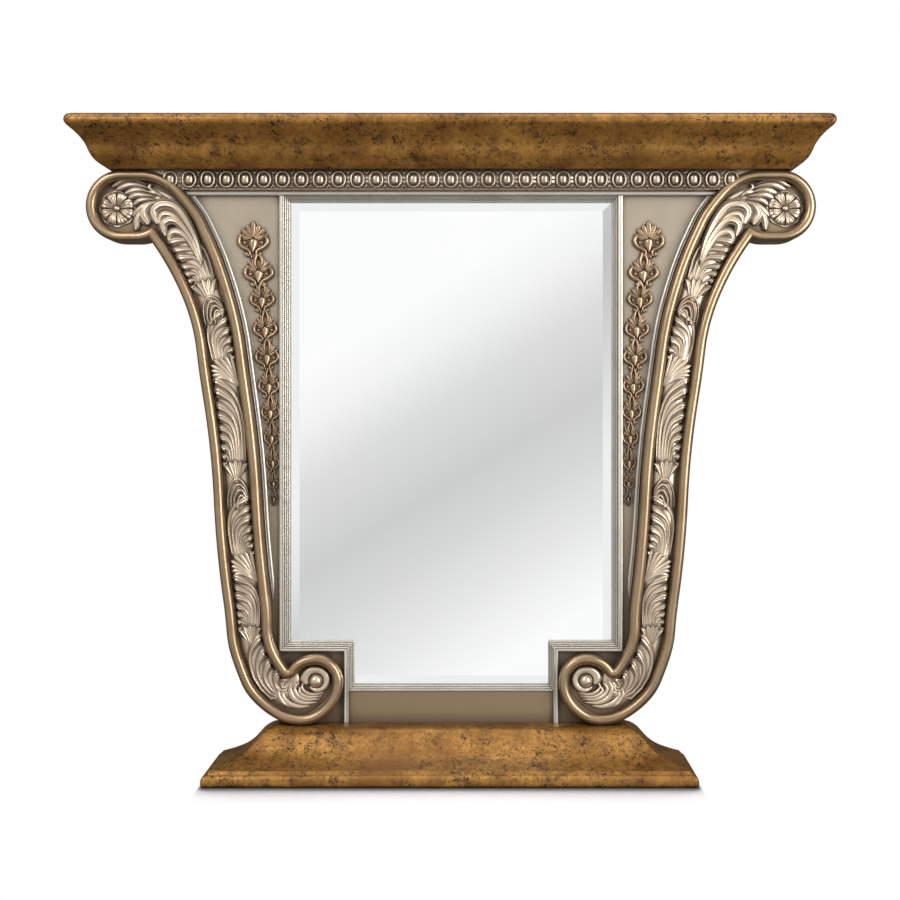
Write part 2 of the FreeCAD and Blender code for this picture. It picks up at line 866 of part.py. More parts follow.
def build_panels(parts, beyond):
    y = at(panel_setback)
    rear = at(glass_setback)
    panel = slab(bar_half, scroll_outer_half, y, rear, ledge_bottom, head_bar_bottom).cut(beyond)
    stile = slab(step_half, step_half + rear_stile_width, rear, back_y, ledge_bottom,
                 head_bar_bottom).cut(beyond)
    pieces = {
        "side_panel": panel,
        "corner_panel": corner_board(),
        "rear_stile": stile,
        "panel_bead": panel_bead(),
        "palmette_drop": palmette_drop(),
    }
    for name, shape in pieces.items():
        parts[name + "_right"] = shape
        parts[name + "_left"] = mirrored(shape)


def step_profile():
    """Distance from the opening and setback of each corner of the stepped part."""
    width = step_run / step_count
    drop = (glass_setback - step_setback) / step_count
    points = [(0, glass_setback)]
    for i in range(step_count):
        setback = glass_setback - drop * (i + 1)
        points += [(width * i, setback), (width * (i + 1), setback)]
    return points


def bar_profile():
    """The stepped part and the rounded bar outside it."""
    points = step_profile()
    soft = bar_width / 4
    points += [
        (step_run, bar_setback + soft),
        (step_run + soft, bar_setback),
        (step_run + bar_width - soft, bar_setback),
        (step_run + bar_width, bar_setback + soft),
        (step_run + bar_width, glass_setback),
    ]
    return points


def upright(profile, x, z0, z1):
    """A profile run along Z, whose opening side is at x and whose outside is further out."""
    wire = closed_wire([V(x + d, at(s), z0) for d, s in profile])
    return Part.Face(wire).extrude(V(0, 0, z1 - z0))


def level_run(profile, z, outward, x0, x1):
    """A profile run along X, whose opening side is at z."""
    wire = closed_wire([V(x0, at(s), z + outward * d) for d, s in profile])
    return Part.Face(wire).extrude(V(x1 - x0, 0, 0))


def cut_to(shape, plan):
    return shape.common(prism_y(plan, at(0), back_y))


def build_sight(parts):
    steps = step_profile() + [(step_run, glass_setback)]
    top = level_run(steps, opening_top, 1, -step_half, step_half)
    parts["sight_step_top"] = cut_to(top, [
        (-opening_half_width, opening_top), (opening_half_width, opening_top),
        (step_half, head_bar_bottom), (-step_half, head_bar_bottom)])
    side = upright(bar_profile(), opening_half_width, ledge_bottom, head_bar_bottom)
    side = cut_to(side, [
        (opening_half_width, notch_top), (bar_half, ledge_bottom), (bar_half, head_bar_bottom),
        (step_half, head_bar_bottom), (opening_half_width, opening_top)])
    ledge = level_run(bar_profile(), notch_top, -1, notch_half_width, bar_half)
    ledge = cut_to(ledge, [
        (notch_half_width, notch_top), (opening_half_width, notch_top), (bar_half, ledge_bottom),
        (post_half, ledge_bottom)])
    post = upright(bar_profile(), notch_half_width, base_height, notch_top)
    step_bottom = opening_bottom - step_run
    post_step = notch_half_width + step_run
    post = cut_to(post, [
        (notch_half_width, notch_top), (post_half, ledge_bottom), (post_half, base_height),
        (post_step, base_height), (post_step, step_bottom), (notch_half_width, opening_bottom)])
    bottom = level_run(steps, opening_bottom, -1, -post_step, post_step)
    parts["sight_step_bottom"] = cut_to(bottom, [
        (-notch_half_width, opening_bottom), (notch_half_width, opening_bottom),
        (post_step, step_bottom), (-post_step, step_bottom)])
    for name, shape in {"sight_side": side, "notch_ledge": ledge, "notch_post": post}.items():
        parts[name + "_right"] = shape
        parts[name + "_left"] = mirrored(shape)
    parts["apron_panel"] = slab(-post_step, post_step, at(panel_setback), at(glass_setback),
                                base_height, step_bottom)


def build_glass(parts):
    y = at(glass_setback)
    back = y + glass_thickness
    edge = back - glass_edge

    def sheet(inset, where):
        x = glass_half_width - inset
        return [V(-x, where, glass_bottom + inset), V(x, where, glass_bottom + inset),
                V(x, where, glass_top - inset), V(-x, where, glass_top - inset)]

    face = stepped([sheet(glass_bevel, y), sheet(0, edge)])
    pane = slab(-glass_half_width, glass_half_width, edge, back, glass_bottom, glass_top)
    parts["mirror_glass"] = face.fuse(pane).removeSplitter()
    parts["backing_board"] = slab(-glass_half_width, glass_half_width, back, back_y,
                                  glass_bottom, glass_top)
    parts["bottom_rail"] = slab(-step_half, step_half, y, back_y, base_height, glass_bottom)


def peg(x, z, y0, y1, radius, sides):
    """A many-sided peg that circumscribes its radius."""
    wide = 2 * radius / math.cos(math.pi / sides)
    return stepped([loop_at(x, z, y, wide, wide, sides) for y in (y0, y1)])


def screw(x, z, y, length):
    """A pan head on the face at y with its shank driven forward."""
    crown = 2 * screw_head_radius * screw_crown_share
    head = stepped([
        loop_at(x, z, y, 2 * screw_head_radius, 2 * screw_head_radius, 2 * screw_sides),
        loop_at(x, z, y + screw_head_rise, crown, crown, 2 * screw_sides)])
    return head.fuse(peg(x, z, y - length, y, screw_radius, screw_sides))


def bore(x, z, y0, y1):
    return peg(x, z, y0, y1, screw_radius + fit_gap, screw_sides)


def build_clips(parts):
    """Slotted clips that hold the backing board, each with its screw in the rear stile."""
    x0 = glass_half_width - clip_length / 2
    x1 = glass_half_width + clip_length / 2
    x_screw = step_half + clip_length / 4
    face = back_y + clip_thickness
    heights = spread(clip_count_side, ledge_bottom + clip_foot, head_bar_bottom - clip_head)
    clips = []
    screws = []
    stile = parts["rear_stile_right"]
    for z in heights:
        plate = slab(x0, x1, back_y, face, z - clip_width / 2, z + clip_width / 2)
        slot_x = x_screw - clip_slot / 2
        slot = slab(slot_x, x1, back_y, face, z - clip_slot / 2, z + clip_slot / 2)
        clips.append(plate.cut(slot))
        screws.append(screw(x_screw, z, face, screw_length))
        stile = stile.cut(bore(x_screw, z, face - screw_length, back_y + overrun))
    parts["rear_stile_right"] = stile
    parts["retainer_clips"] = group(clips + [mirrored(c) for c in clips])
    parts["clip_screws"] = group(screws + [mirrored(s) for s in screws])


def knuckle(x, z, radius, length):
    """A many-sided barrel along X that circumscribes its radius."""
    wide = radius / math.cos(math.pi / wire_sides)
    turns = [2 * math.pi * (i + 0.5) / wire_sides for i in range(wire_sides)]
    y = back_y + ring_outer
    points = [(y + wide * math.cos(a), z + wide * math.sin(a)) for a in turns]
    return prism_x(points, x - length / 2, x + length / 2)


def hanger_strap(x, z):
    """A folded plate with a knuckle at its foot."""
    half = strap_width / 2
    plate = slab(x - half, x + half, back_y, back_y + strap_thickness, z, z + strap_length)
    hole = knuckle(x, z, ring_wire + ring_gap, strap_width + 2 * overrun)
    return plate.fuse(knuckle(x, z, ring_outer, strap_width)).cut(hole)


def ring_path():
    """Corners of the ring's D, from the right end of its bar round the bow below it."""
    side = ring_half_width
    bow = side - ring_height
    wide = side / math.cos(math.pi / (2 * bow_bends))
    turns = spread(bow_bends, -math.pi / bow_bends, math.pi / bow_bends - math.pi)
    bends = [(wide * math.cos(a), bow + wide * math.sin(a)) for a in turns]
    return [(side, 0), (side, bow)] + bends + [(-side, bow), (-side, 0)]


def wire_end(x, z, spot, heading, neighbour):
    """The wire's outline on the mitre between a run and its neighbour."""
    split = left_of(unit(plus(heading, neighbour)))
    wide = ring_wire / dot(split, left_of(heading))
    y = back_y + ring_outer
    points = []
    for k in range(wire_sides):
        a = 2 * math.pi * k / wire_sides
        out = wide * math.cos(a)
        points.append(V(x + spot[0] + split[0] * out, y + ring_wire * math.sin(a),
                        z + spot[1] + split[1] * out))
    return points


def hanger_ring(x, z):
    """A closed D of bent wire whose bar turns in the knuckle and whose bow hangs down."""
    path = ring_path()
    corners = list(zip(path, path[1:] + path[:1]))
    headings = [unit(between(p, q)) for p, q in corners]
    runs = []
    for i, (p, q) in enumerate(corners):
        after = headings[(i + 1) % len(corners)]
        runs.append(stepped([wire_end(x, z, p, headings[i], headings[i - 1]),
                           wire_end(x, z, q, headings[i], after)]))
    return runs[0].multiFuse(runs[1:]).removeSplitter()


def build_hangers(parts):
    x = step_half + hanger_inset
    z = cornice_bottom - hanger_drop
    face = back_y + strap_thickness
    strap = hanger_strap(x, z)
    screws = []
    for share in hanger_screw_shares:
        height = z + strap_length * share
        screws.append(screw(x, height, face, screw_length))
        strap = strap.cut(bore(x, height, back_y - overrun, back_y + overrun))
        hole = bore(x, height, face - screw_length, back_y + overrun)
        parts["rear_stile_right"] = parts["rear_stile_right"].cut(hole)
    parts["rear_stile_left"] = mirrored(parts["rear_stile_right"])
    ring = hanger_ring(x, z)
    parts["hanger_strap_right"] = strap
    parts["hanger_strap_left"] = mirrored(strap)
    parts["hanger_ring_right"] = ring
    parts["hanger_ring_left"] = mirrored(ring)
    parts["hanger_screws"] = group(screws + [mirrored(s) for s in screws])


def build_bumpers(parts):
    """Rubber bumpers on the back: two under the top board and two on the base's rear rail."""
    pads = []
    reach = post_half + bumper_inset
    for x in (-reach, reach):
        for z in (cornice_bottom + cornice_height / 2, base_height / 2):
            pads.append(peg(x, z, back_y, back_y + bumper_height, bumper_radius, 2 * screw_sides))
    parts["wall_bumpers"] = group(pads)


def build():
    parts = {}
    beyond = outside_of_panels()
    build_base(parts)
    build_cornice(parts)
    build_frieze(parts, beyond)
    build_scrolls(parts)
    build_panels(parts, beyond)
    build_sight(parts)
    build_glass(parts)
    build_clips(parts)
    build_hangers(parts)
    build_bumpers(parts)
    return parts


os.makedirs("parts", exist_ok=True)
for name, shape in build().items():
    shape.exportStep("parts/" + name + ".step")
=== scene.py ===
import json
import math

import bmesh
import bpy
import numpy as np
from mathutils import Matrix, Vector


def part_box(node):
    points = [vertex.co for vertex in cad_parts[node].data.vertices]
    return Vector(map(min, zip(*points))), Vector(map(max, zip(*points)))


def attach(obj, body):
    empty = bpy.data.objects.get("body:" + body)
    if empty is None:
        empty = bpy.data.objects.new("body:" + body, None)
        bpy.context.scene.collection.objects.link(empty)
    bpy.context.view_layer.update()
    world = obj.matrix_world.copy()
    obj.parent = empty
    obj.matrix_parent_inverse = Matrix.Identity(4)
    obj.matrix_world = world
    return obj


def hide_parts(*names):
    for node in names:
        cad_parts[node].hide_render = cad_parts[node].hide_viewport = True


# Looks of the wall mirror, in metres, in the frame of its solids.

# Photograph: the frame's width, the vanishing point, and the real width of a pixel at the base.
photo_width_px = 900
vanishing_px = (477, 407)
pixel_width = 0.001756
camera_distance = 2.539
camera_height = 0.6708
camera_side = 0.0481
camera_reach = 100
sensor_width_mm = 36.0

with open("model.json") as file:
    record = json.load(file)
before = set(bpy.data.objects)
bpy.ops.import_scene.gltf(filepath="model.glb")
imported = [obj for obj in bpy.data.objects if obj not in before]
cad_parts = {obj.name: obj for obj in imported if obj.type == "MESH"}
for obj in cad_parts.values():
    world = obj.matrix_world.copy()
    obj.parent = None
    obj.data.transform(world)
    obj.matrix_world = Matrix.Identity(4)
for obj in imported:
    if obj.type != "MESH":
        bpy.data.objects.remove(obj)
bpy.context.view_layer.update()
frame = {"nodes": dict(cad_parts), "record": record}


# Materials: node trees that grow one node after another.
class NodeTree:
    """A node tree and the steps that it is made of."""

    def __init__(self, tree):
        self.tree = tree

    def add(self, kind, feeds=None, **settings):
        """A new node; feeds gives some of its inputs a number, a colour or another node's output."""
        made = self.tree.nodes.new(kind)
        for key, value in settings.items():
            setattr(made, key, value)
        for name, value in (feeds or {}).items():
            self.feed(value, made.inputs[name])
        return made

    def feed(self, value, socket):
        """Sets a socket from a number or colour, or links it from another node."""
        if isinstance(value, (int, float)):
            socket.default_value = value
        elif isinstance(value, tuple):
            socket.default_value = (*value, 1) if len(socket.default_value) == 4 else value
        else:
            self.tree.links.new(value, socket)

    def between(self, value, low, high, start=0.0, stop=1.0):
        """Goes smoothly from start to stop while the value goes from low to high."""
        feeds = {"Value": value, "From Min": low, "From Max": high, "To Min": start, "To Max": stop}
        return self.add("ShaderNodeMapRange", feeds, interpolation_type="SMOOTHSTEP").outputs["Result"]

    def times(self, a, b, operation="MULTIPLY"):
        return self.add("ShaderNodeMath", {0: a, 1: b}, operation=operation).outputs["Value"]

    def blend(self, share, a, b):
        """From a to b by a share."""
        return self.add("ShaderNodeMixRGB", {"Fac": share, "Color1": a, "Color2": b}).outputs["Color"]


class Finish(NodeTree):
    """A material on one shader, with its texture place read in object space."""

    def __init__(self, name):
        self.material = bpy.data.materials.new(name)
        self.material.use_nodes = True
        super().__init__(self.material.node_tree)
        self.shader = self.tree.nodes["Principled BSDF"]
        self.place = self.add("ShaderNodeTexCoord").outputs["Object"]

    def part(self, vector, axis):
        """One coordinate of a vector."""
        return self.add("ShaderNodeSeparateXYZ", {"Vector": vector}).outputs[axis]

    def stretched(self, scale):
        return self.add("ShaderNodeMapping", {"Vector": self.place, "Scale": scale}).outputs["Vector"]

    def noise(self, scale, detail=6.0, roughness=0.6, distortion=0.0, place=None):
        feeds = {"Vector": place or self.place, "Scale": scale, "Detail": detail, "Roughness": roughness,
                 "Distortion": distortion}
        return self.add("ShaderNodeTexNoise", feeds).outputs["Fac"]

    def cells(self, scale, place, feature="DISTANCE_TO_EDGE"):
        return self.add("ShaderNodeTexVoronoi", {"Vector": place, "Scale": scale},
                        feature=feature).outputs["Distance"]

    def warped(self, amount, scale):
        """The place, shaken by a noise, so that straight cells turn into veins."""
        noise = self.add("ShaderNodeTexNoise", {"Vector": self.place, "Scale": scale, "Detail": 5.0})
        return self.add("ShaderNodeVectorMath", {0: noise.outputs["Color"], 1: (amount,) * 3, 2: self.place},
                        operation="MULTIPLY_ADD").outputs["Vector"]

    def stored_glaze_and_shade(self):
        """The stored depth of the carving, which paints glaze and shade: 1 in its hollows, 0 on its crests.
        """
        made = self.add("ShaderNodeVertexColor", layer_name="stored_glaze_and_shade")
        return self.add("ShaderNodeSeparateColor", {"Color": made.outputs["Color"]}).outputs["Red"]

    def crevices(self, distance, open_at=0.80, full_at=0.30):
        """Where nearby surfaces crowd in: 1 deep in a corner, 0 on an open face; used to paint shade into
        colours.
        """
        made = self.add("ShaderNodeAmbientOcclusion", {"Distance": distance}, samples=8)
        return self.between(made.outputs["AO"], full_at, open_at, 1.0, 0.0)

    def bump(self, height, strength, distance, arris=0.0):
        """A fine relief, over edges that look rounded to the arris radius."""
        made = self.add("ShaderNodeBump", {"Height": height, "Strength": strength, "Distance": distance})
        if arris:
            edge = self.add("ShaderNodeBevel", {"Radius": arris}, samples=6)
            self.feed(edge.outputs["Normal"], made.inputs["Normal"])
        self.feed(made.outputs["Normal"], self.shader.inputs["Normal"])

    def finish(self, **values):
        for name, value in values.items():
            self.feed(value, self.shader.inputs[name.replace("_", " ").title()])
        return self.material


# Lengths of the finishes, in metres: heights of fine relief, and the paint's arris, the reach of its dirt
# and painted shade in corners, and how far its cells are shaken.
leaf_relief = 0.0003
wood_relief = 0.001
paint_relief = 0.0006
paint_arris = 0.005
paint_shade_reach = 0.012
vein_shake = 0.050
speck_shake = 0.008
pit_shake = 0.010
# Colours of the glaze and painted shade left in hollows, and of the paint of the cornice and the base.
glaze_and_shade_brown = (0.040, 0.022, 0.012)
paint_dark = (0.200, 0.087, 0.015)
paint_light = (0.362, 0.178, 0.036)
paint_grain = (0.105, 0.042, 0.008)
paint_stain = (0.075, 0.032, 0.009)
paint_smudge = (0.040, 0.017, 0.006)
# The next colour is dirt and painted shade, laid where the paint's surfaces crowd into corners.
paint_dirt = (0.035, 0.015, 0.006)
paint_ink = (0.010, 0.005, 0.003)
# Worm lines of the paint: size of their cells, width and size of their gaps.
worm_lines = ((30.0, 0.030, 60.0), (62.0, 0.052, 95.0))


def mottled_gold():
    """Brown-gold paint, rubbed and mottled, with clustered dark specks, short worm lines, and dirt and
    painted shade in its corners.
    """
    m = Finish("mottled_gold")
    clouds = m.noise(11.0, 7.0, 0.62, 0.4)
    fine = m.noise(140.0, 6.0, 0.7)
    color = m.blend(m.between(clouds, 0.36, 0.66), paint_dark, paint_light)
    color = m.blend(m.between(fine, 0.42, 0.66, 0.0, 0.50), color, paint_grain)
    stain = m.times(m.between(m.noise(30.0, 6.0, 0.72), 0.52, 0.66), 0.65)
    color = m.blend(stain, color, paint_stain)
    patches = m.between(m.noise(10.0, 4.0, 0.6), 0.42, 0.54, 0.15, 1.0)
    for size, width, gaps in worm_lines:
        veins = m.between(m.cells(size, m.warped(vein_shake, size + 10.0)), width * 0.35, width, 1.0, 0.0)
        short = m.between(m.noise(gaps, 3.0, 0.6), 0.49, 0.55)
        color = m.blend(m.times(m.times(veins, short), m.times(patches, 0.9)), color, paint_ink)
    specks = m.between(m.cells(170.0, m.warped(speck_shake, 260.0), "F1"), 0.24, 0.38, 1.0, 0.0)
    near = m.between(m.noise(9.0, 3.0), 0.44, 0.56)
    spots = m.times(m.between(m.noise(40.0, 5.0, 0.75), 0.48, 0.58), near)
    color = m.blend(m.times(m.times(specks, spots), 0.95), color, paint_ink)
    near = m.between(m.noise(12.0, 2.0), 0.48, 0.60)
    smudge = m.times(m.between(m.noise(52.0, 7.0, 0.8), 0.52, 0.66), near)
    color = m.blend(m.times(smudge, 0.75), color, paint_smudge)
    pits = m.between(m.cells(45.0, m.warped(pit_shake, 170.0), "F1"), 0.05, 0.11, 1.0, 0.0)
    color = m.blend(m.times(pits, 0.95), color, paint_ink)
    # Dirt and painted shade: the colour darkens where nearby surfaces crowd in.
    color = m.blend(m.times(m.crevices(paint_shade_reach), 0.7), color, paint_dirt)
    m.bump(fine, 0.15, paint_relief, paint_arris)
    return m.finish(base_color=color, roughness=m.between(fine, 0.3, 0.7, 0.32, 0.44), metallic=0.60)


def leafed(name, light, dark, metal, shine, carved=False, reach=0.012, grime_and_shade=0.9, foot=None, arris=0.0,
           glaze_and_shade_end=0.80):
    """Metal leaf or metallic paint: soft clouds, fine grain, and dark glaze and painted shade in hollows.

    A foot colour takes over towards the bottom of the mirror; an arris rounds the look of sharp edges. The
    glaze and painted shade end where the surroundings leave a share of glaze_and_shade_end open."""
    m = Finish(name)
    clouds = m.noise(14.0, 5.0, 0.6)
    grain = m.noise(160.0, 6.0, 0.7)
    color = m.blend(m.between(clouds, 0.38, 0.70, 0.0, 0.50), light, dark)
    color = m.blend(m.between(grain, 0.48, 0.72, 0.0, 0.35), color, dark)
    if foot:
        color = m.blend(m.between(m.part(m.place, "Z"), 0.10, 0.75, 1.0, 0.0), color, foot)
    # Glaze and painted shade: darker where nearby surfaces crowd in and, on carvings, deep in their stored
    # depth.
    dirt = m.times(m.crevices(reach, glaze_and_shade_end), m.between(grain, 0.2, 0.6, 0.75, 1.0))
    if carved:
        dirt = m.times(dirt, m.times(m.between(m.stored_glaze_and_shade(), 0.25, 0.95), 0.85), "MAXIMUM")
    dirt = m.times(dirt, grime_and_shade)
    color = m.blend(dirt, color, glaze_and_shade_brown)
    m.bump(grain, 0.05, leaf_relief, arris)
    return m.finish(base_color=color, roughness=m.between(dirt, 0.15, 0.8, shine, 0.62),
                    metallic=m.between(dirt, 0.2, 0.9, metal, 0.1))


def silvered_glass():
    """Clear mirror, a little greyer on its bevels, where the face isn't square to the front."""
    m = Finish("silvered_glass")
    front = m.part(m.add("ShaderNodeTexCoord").outputs["Normal"], "Y")
    slant = m.between(m.times(front, -1.0), 0.9975, 0.9995, 1.0, 0.0)
    haze = m.noise(3.0, 2.0, 0.4)
    tint = m.blend(m.between(haze, 0.3, 0.7), (0.975, 0.985, 0.985), (0.985, 0.99, 0.99))
    return m.finish(base_color=m.blend(slant, tint, (0.87, 0.88, 0.88)), roughness=0.012, metallic=1.0)


def bare_wood(name, light, dark):
    """Plain softwood or fibre board, grain along the height."""
    m = Finish(name)
    grain = m.noise(5.0, 8.0, 0.65, 1.2, m.stretched((26.0, 26.0, 2.0)))
    m.bump(grain, 0.25, wood_relief)
    return m.finish(base_color=m.blend(m.between(grain, 0.35, 0.68), light, dark), roughness=0.72)


def worn_metal(name, tone, metal, shine):
    """Metal or rubber with faint darker marks."""
    m = Finish(name)
    marks = m.noise(220.0, 5.0, 0.7)
    color = m.blend(m.between(marks, 0.35, 0.8, 0.0, 0.5), tone, tuple(0.45 * c for c in tone))
    m.bump(marks, 0.08, leaf_relief)
    rough = m.between(marks, 0.2, 0.8, shine, shine + 0.2)
    return m.finish(base_color=color, roughness=rough, metallic=metal)


leafed_looks = {
    "antique_gold": dict(light=(0.33, 0.232, 0.14), dark=(0.215, 0.14, 0.075), metal=0.92, shine=0.29,
                         grime_and_shade=1.0),
    "antique_bronze": dict(light=(0.20, 0.135, 0.078), dark=(0.12, 0.075, 0.04), metal=0.60, shine=0.40),
    "champagne_carving": dict(light=(0.60, 0.495, 0.378), dark=(0.40, 0.30, 0.205), metal=0.88, shine=0.285,
                              carved=True, reach=0.011, grime_and_shade=1.05),
    "pewter_frieze": dict(light=(0.42, 0.34, 0.255), dark=(0.24, 0.17, 0.115), metal=0.85, shine=0.26,
                          carved=True, grime_and_shade=1.15),
    "panel_champagne": dict(light=(0.322, 0.275, 0.21), dark=(0.27, 0.222, 0.165), metal=0.60, shine=0.42,
                            reach=0.030, grime_and_shade=0.98, foot=(0.215, 0.155, 0.092), glaze_and_shade_end=0.99),
    "silver_moulding": dict(light=(0.53, 0.495, 0.44), dark=(0.43, 0.39, 0.33), metal=0.80, shine=0.34,
                            reach=0.004, grime_and_shade=0.5, arris=0.0014),
    "copper_palmette": dict(light=(0.40, 0.285, 0.18), dark=(0.20, 0.125, 0.07), metal=0.85, shine=0.24,
                            carved=True, reach=0.010, grime_and_shade=1.1),
}
bare_looks = {
    "bare_board": ((0.16, 0.085, 0.045), (0.10, 0.05, 0.028)),
    "bare_wood": ((0.42, 0.27, 0.14), (0.28, 0.16, 0.075)),
}
worn_looks = {
    "steel_plate": ((0.46, 0.46, 0.45), 0.45, 0.32),
    "brass_screw": ((0.55, 0.38, 0.14), 0.55, 0.28),
    "soft_rubber": ((0.020, 0.020, 0.021), 0.0, 0.62),
}
finishes = {
    "mottled_gold": mottled_gold(),
    **{name: leafed(name, **look) for name, look in leafed_looks.items()},
    "silvered_glass": silvered_glass(),
    **{name: bare_wood(name, *look) for name, look in bare_looks.items()},
    **{name: worn_metal(name, *look) for name, look in worn_looks.items()},
}


def paint_nodes():
    """Every CAD node gets the finish that the record gives it."""
    for part in frame["record"]["subparts"]:
        node = frame["nodes"][part["node"]]
        node.data.materials.clear()
        node.data.materials.append(finishes[part["material_slot"]])


# Outline of a scroll stile: each point is its share of the width and its place in foot (0 to 1),
# shaft (1 to 2) and head (2 to 3), with the heading where it is set.
foot_height = 0.2304
head_height = 0.2454
upper_scroll_shares = (
    (0.7521, 2.481, None),
    (0.8607, 2.461, (1, 0)),
    (1.0000, 2.730, (0, 1)),
    (0.8607, 3.000, (-1, 0)),
    (0.7100, 2.971, None),
    (0.5668, 2.716, None),
    (0.5113, 2.509, None),
    (0.4222, 2.025, None),
    (0.3562, 1.674, None),
    (0.2836, 1.000, None),
    (0.2560, 0.591, None),
    (0.2142, 0.452, None),
)
lower_scroll_shares = (
    (0.2142, 0.452, None),
    (0.1074, 0.564, (-1, 0)),
    (0.0000, 0.340, (0, -1)),
    (0.0530, 0.097, None),
    (0.1629, 0.000, (1, 0)),
    (0.3526, 0.200, None),
    (0.4296, 0.520, None),
    (0.4661, 1.000, None),
    (0.5431, 1.674, None),
    (0.6170, 2.008, None),
    (0.7521, 2.481, None),
)
eye_place_shares = (0.1066, 0.350)
rim_width = 0.0185

stile_low, stile_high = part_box("scroll_body_right")
rim_low, rim_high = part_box("scroll_rim_right")
floor_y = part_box("acanthus_carving_right")[1].y


def scroll_place(shares):
    """A point (x, z) of the right stile from its shares."""
    heights = (foot_height, stile_high.z - stile_low.z - foot_height - head_height, head_height)
    z = stile_low.z
    for stage, height in enumerate(heights):
        z += height * min(max(shares[1] - stage, 0), 1)
    return np.array([stile_low.x + shares[0] * (stile_high.x - stile_low.x), z])


def unit(v):
    return v / np.hypot(*v)


def left_of(t):
    return np.array([-t[1], t[0]])


def heading_at(a, b, c, where):
    """Direction at one of three points of the circle through them, from a towards c."""
    ab, ac = b - a, c - a
    d = 2 * (ab[0] * ac[1] - ab[1] * ac[0])
    ab2, ac2 = ab @ ab, ac @ ac
    centre = a + np.array([ac[1] * ab2 - ab[1] * ac2, ab[0] * ac2 - ac[0] * ab2]) / d
    t = left_of(unit(where - centre))
    along = ab if where is a else (c - b if where is c else ac)
    return t if t @ along > 0 else -t


def arc_points(p, t, q, count=10):
    """Points and inward normals of the arc that leaves p along t and ends at q."""
    chord = q - p
    n = left_of(t)
    bend = 2 * (n @ chord) / (chord @ chord)
    turn = 2 * math.asin(bend * np.hypot(*chord) / 2)
    out = []
    for a in np.linspace(0, turn, count + 1)[:-1]:
        along = math.sin(a) / bend
        aside = (1 - math.cos(a)) / bend
        out.append((p + t * along + n * aside, n * math.cos(a) - t * math.sin(a)))
    end = n * math.cos(turn) - t * math.sin(turn)
    return out, (q, end)


def smooth_chain(table):
    """Points and inward normals along tangent arcs, two to a span, through the table's points."""
    points = [scroll_place(row) for row in table]
    last = len(points) - 1
    tangents = []
    for i, p in enumerate(points):
        j = min(max(i, 1), last - 1)
        guess = heading_at(points[j - 1], points[j], points[j + 1], p)
        tangents.append(guess if table[i][2] is None else np.array(table[i][2], float))
    out = []
    for i in range(last):
        p, q, s, t = points[i], points[i + 1], tangents[i], tangents[i + 1]
        v = q - p
        a, b, c = 2 * (1 - s @ t), v @ s + v @ t, v @ v
        reach = c / (2 * b) if a < 1e-9 else (math.sqrt(b * b + a * c) - b) / a
        joint = (p + s * reach + q - t * reach) / 2
        middle = unit(q - t * reach - p - s * reach)
        for start, heading, stop in ((p, s, joint), (joint, middle, q)):
            run, end = arc_points(start, heading, stop)
            out += run
    return out + [end]


def run_along(line):
    """Distance from the start of a line to each of its points."""
    return np.concatenate([[0], np.cumsum(np.linalg.norm(np.diff(line, axis=0), axis=1))])


def rounded_path(points, count):
    """A smooth line through a few points, evenly sampled."""
    points = np.array(points, float)
    padded = np.vstack([2 * points[0] - points[1], points, 2 * points[-1] - points[-2]])
    spots = np.linspace(0, len(points) - 1 - 1e-9, 12 * len(points))
    i = spots.astype(int)
    t = (spots - i)[:, None]
    a, b, c, d = padded[i], padded[i + 1], padded[i + 2], padded[i + 3]
    line = b + 0.5 * t * (c - a + t * (2 * a - 5 * b + 4 * c - d + t * (3 * (b - c) + d - a)))
    run = run_along(line)
    even = np.linspace(0, run[-1], count)
    return np.stack([np.interp(even, run, line[:, k]) for k in range(line.shape[1])], axis=1)


def scaled(centre, places, wide=1.0, high=None):
    """Points from places that are given from a centre in its width and height."""
    high = wide if high is None else high
    return [(centre[0] + wide * p, centre[1] + high * q) for p, q in places]


def grown(t, start, span):
    """Goes from 0 to 1 over a span of t."""
    return np.clip((t - start) / span, 0, 1)


def tapered(t, root, peak, tip=0.5):
    """Width of a lobe along itself: from its root to its peak, then round to its tip."""
    rising = root + (1 - root) * np.sin(np.clip(t / peak, 0, 1) * math.pi / 2)
    falling = np.maximum(1 - (np.clip(t - peak, 0, 1) / (1 - peak)) ** 2, 0.0004) ** tip
    return rising * falling


def turned(count):
    """Even angles round a full turn."""
    return np.linspace(0, 2 * math.pi, count, endpoint=False)


def ring(x, y, z):
    """Points of one ring from their coordinates; one number may stand for a whole row."""
    return np.stack(np.broadcast_arrays(x, y, z), axis=1)


def cap(radius, rise, foot=0.0, count=5, least=0.00005):
    """A rounded end of a turned form: radius and height from its widest ring to its top."""
    turns = np.linspace(0, math.pi / 2, count)
    return [(max(radius * math.cos(b), least), foot + rise * math.sin(b)) for b in turns]


# Carved pieces: closed lobes gathered into one mesh, with the stored depth of every point, which paints glaze
# and shade.
lobe_samples = 11
lobe_steps = 22
groove_share = 0.28


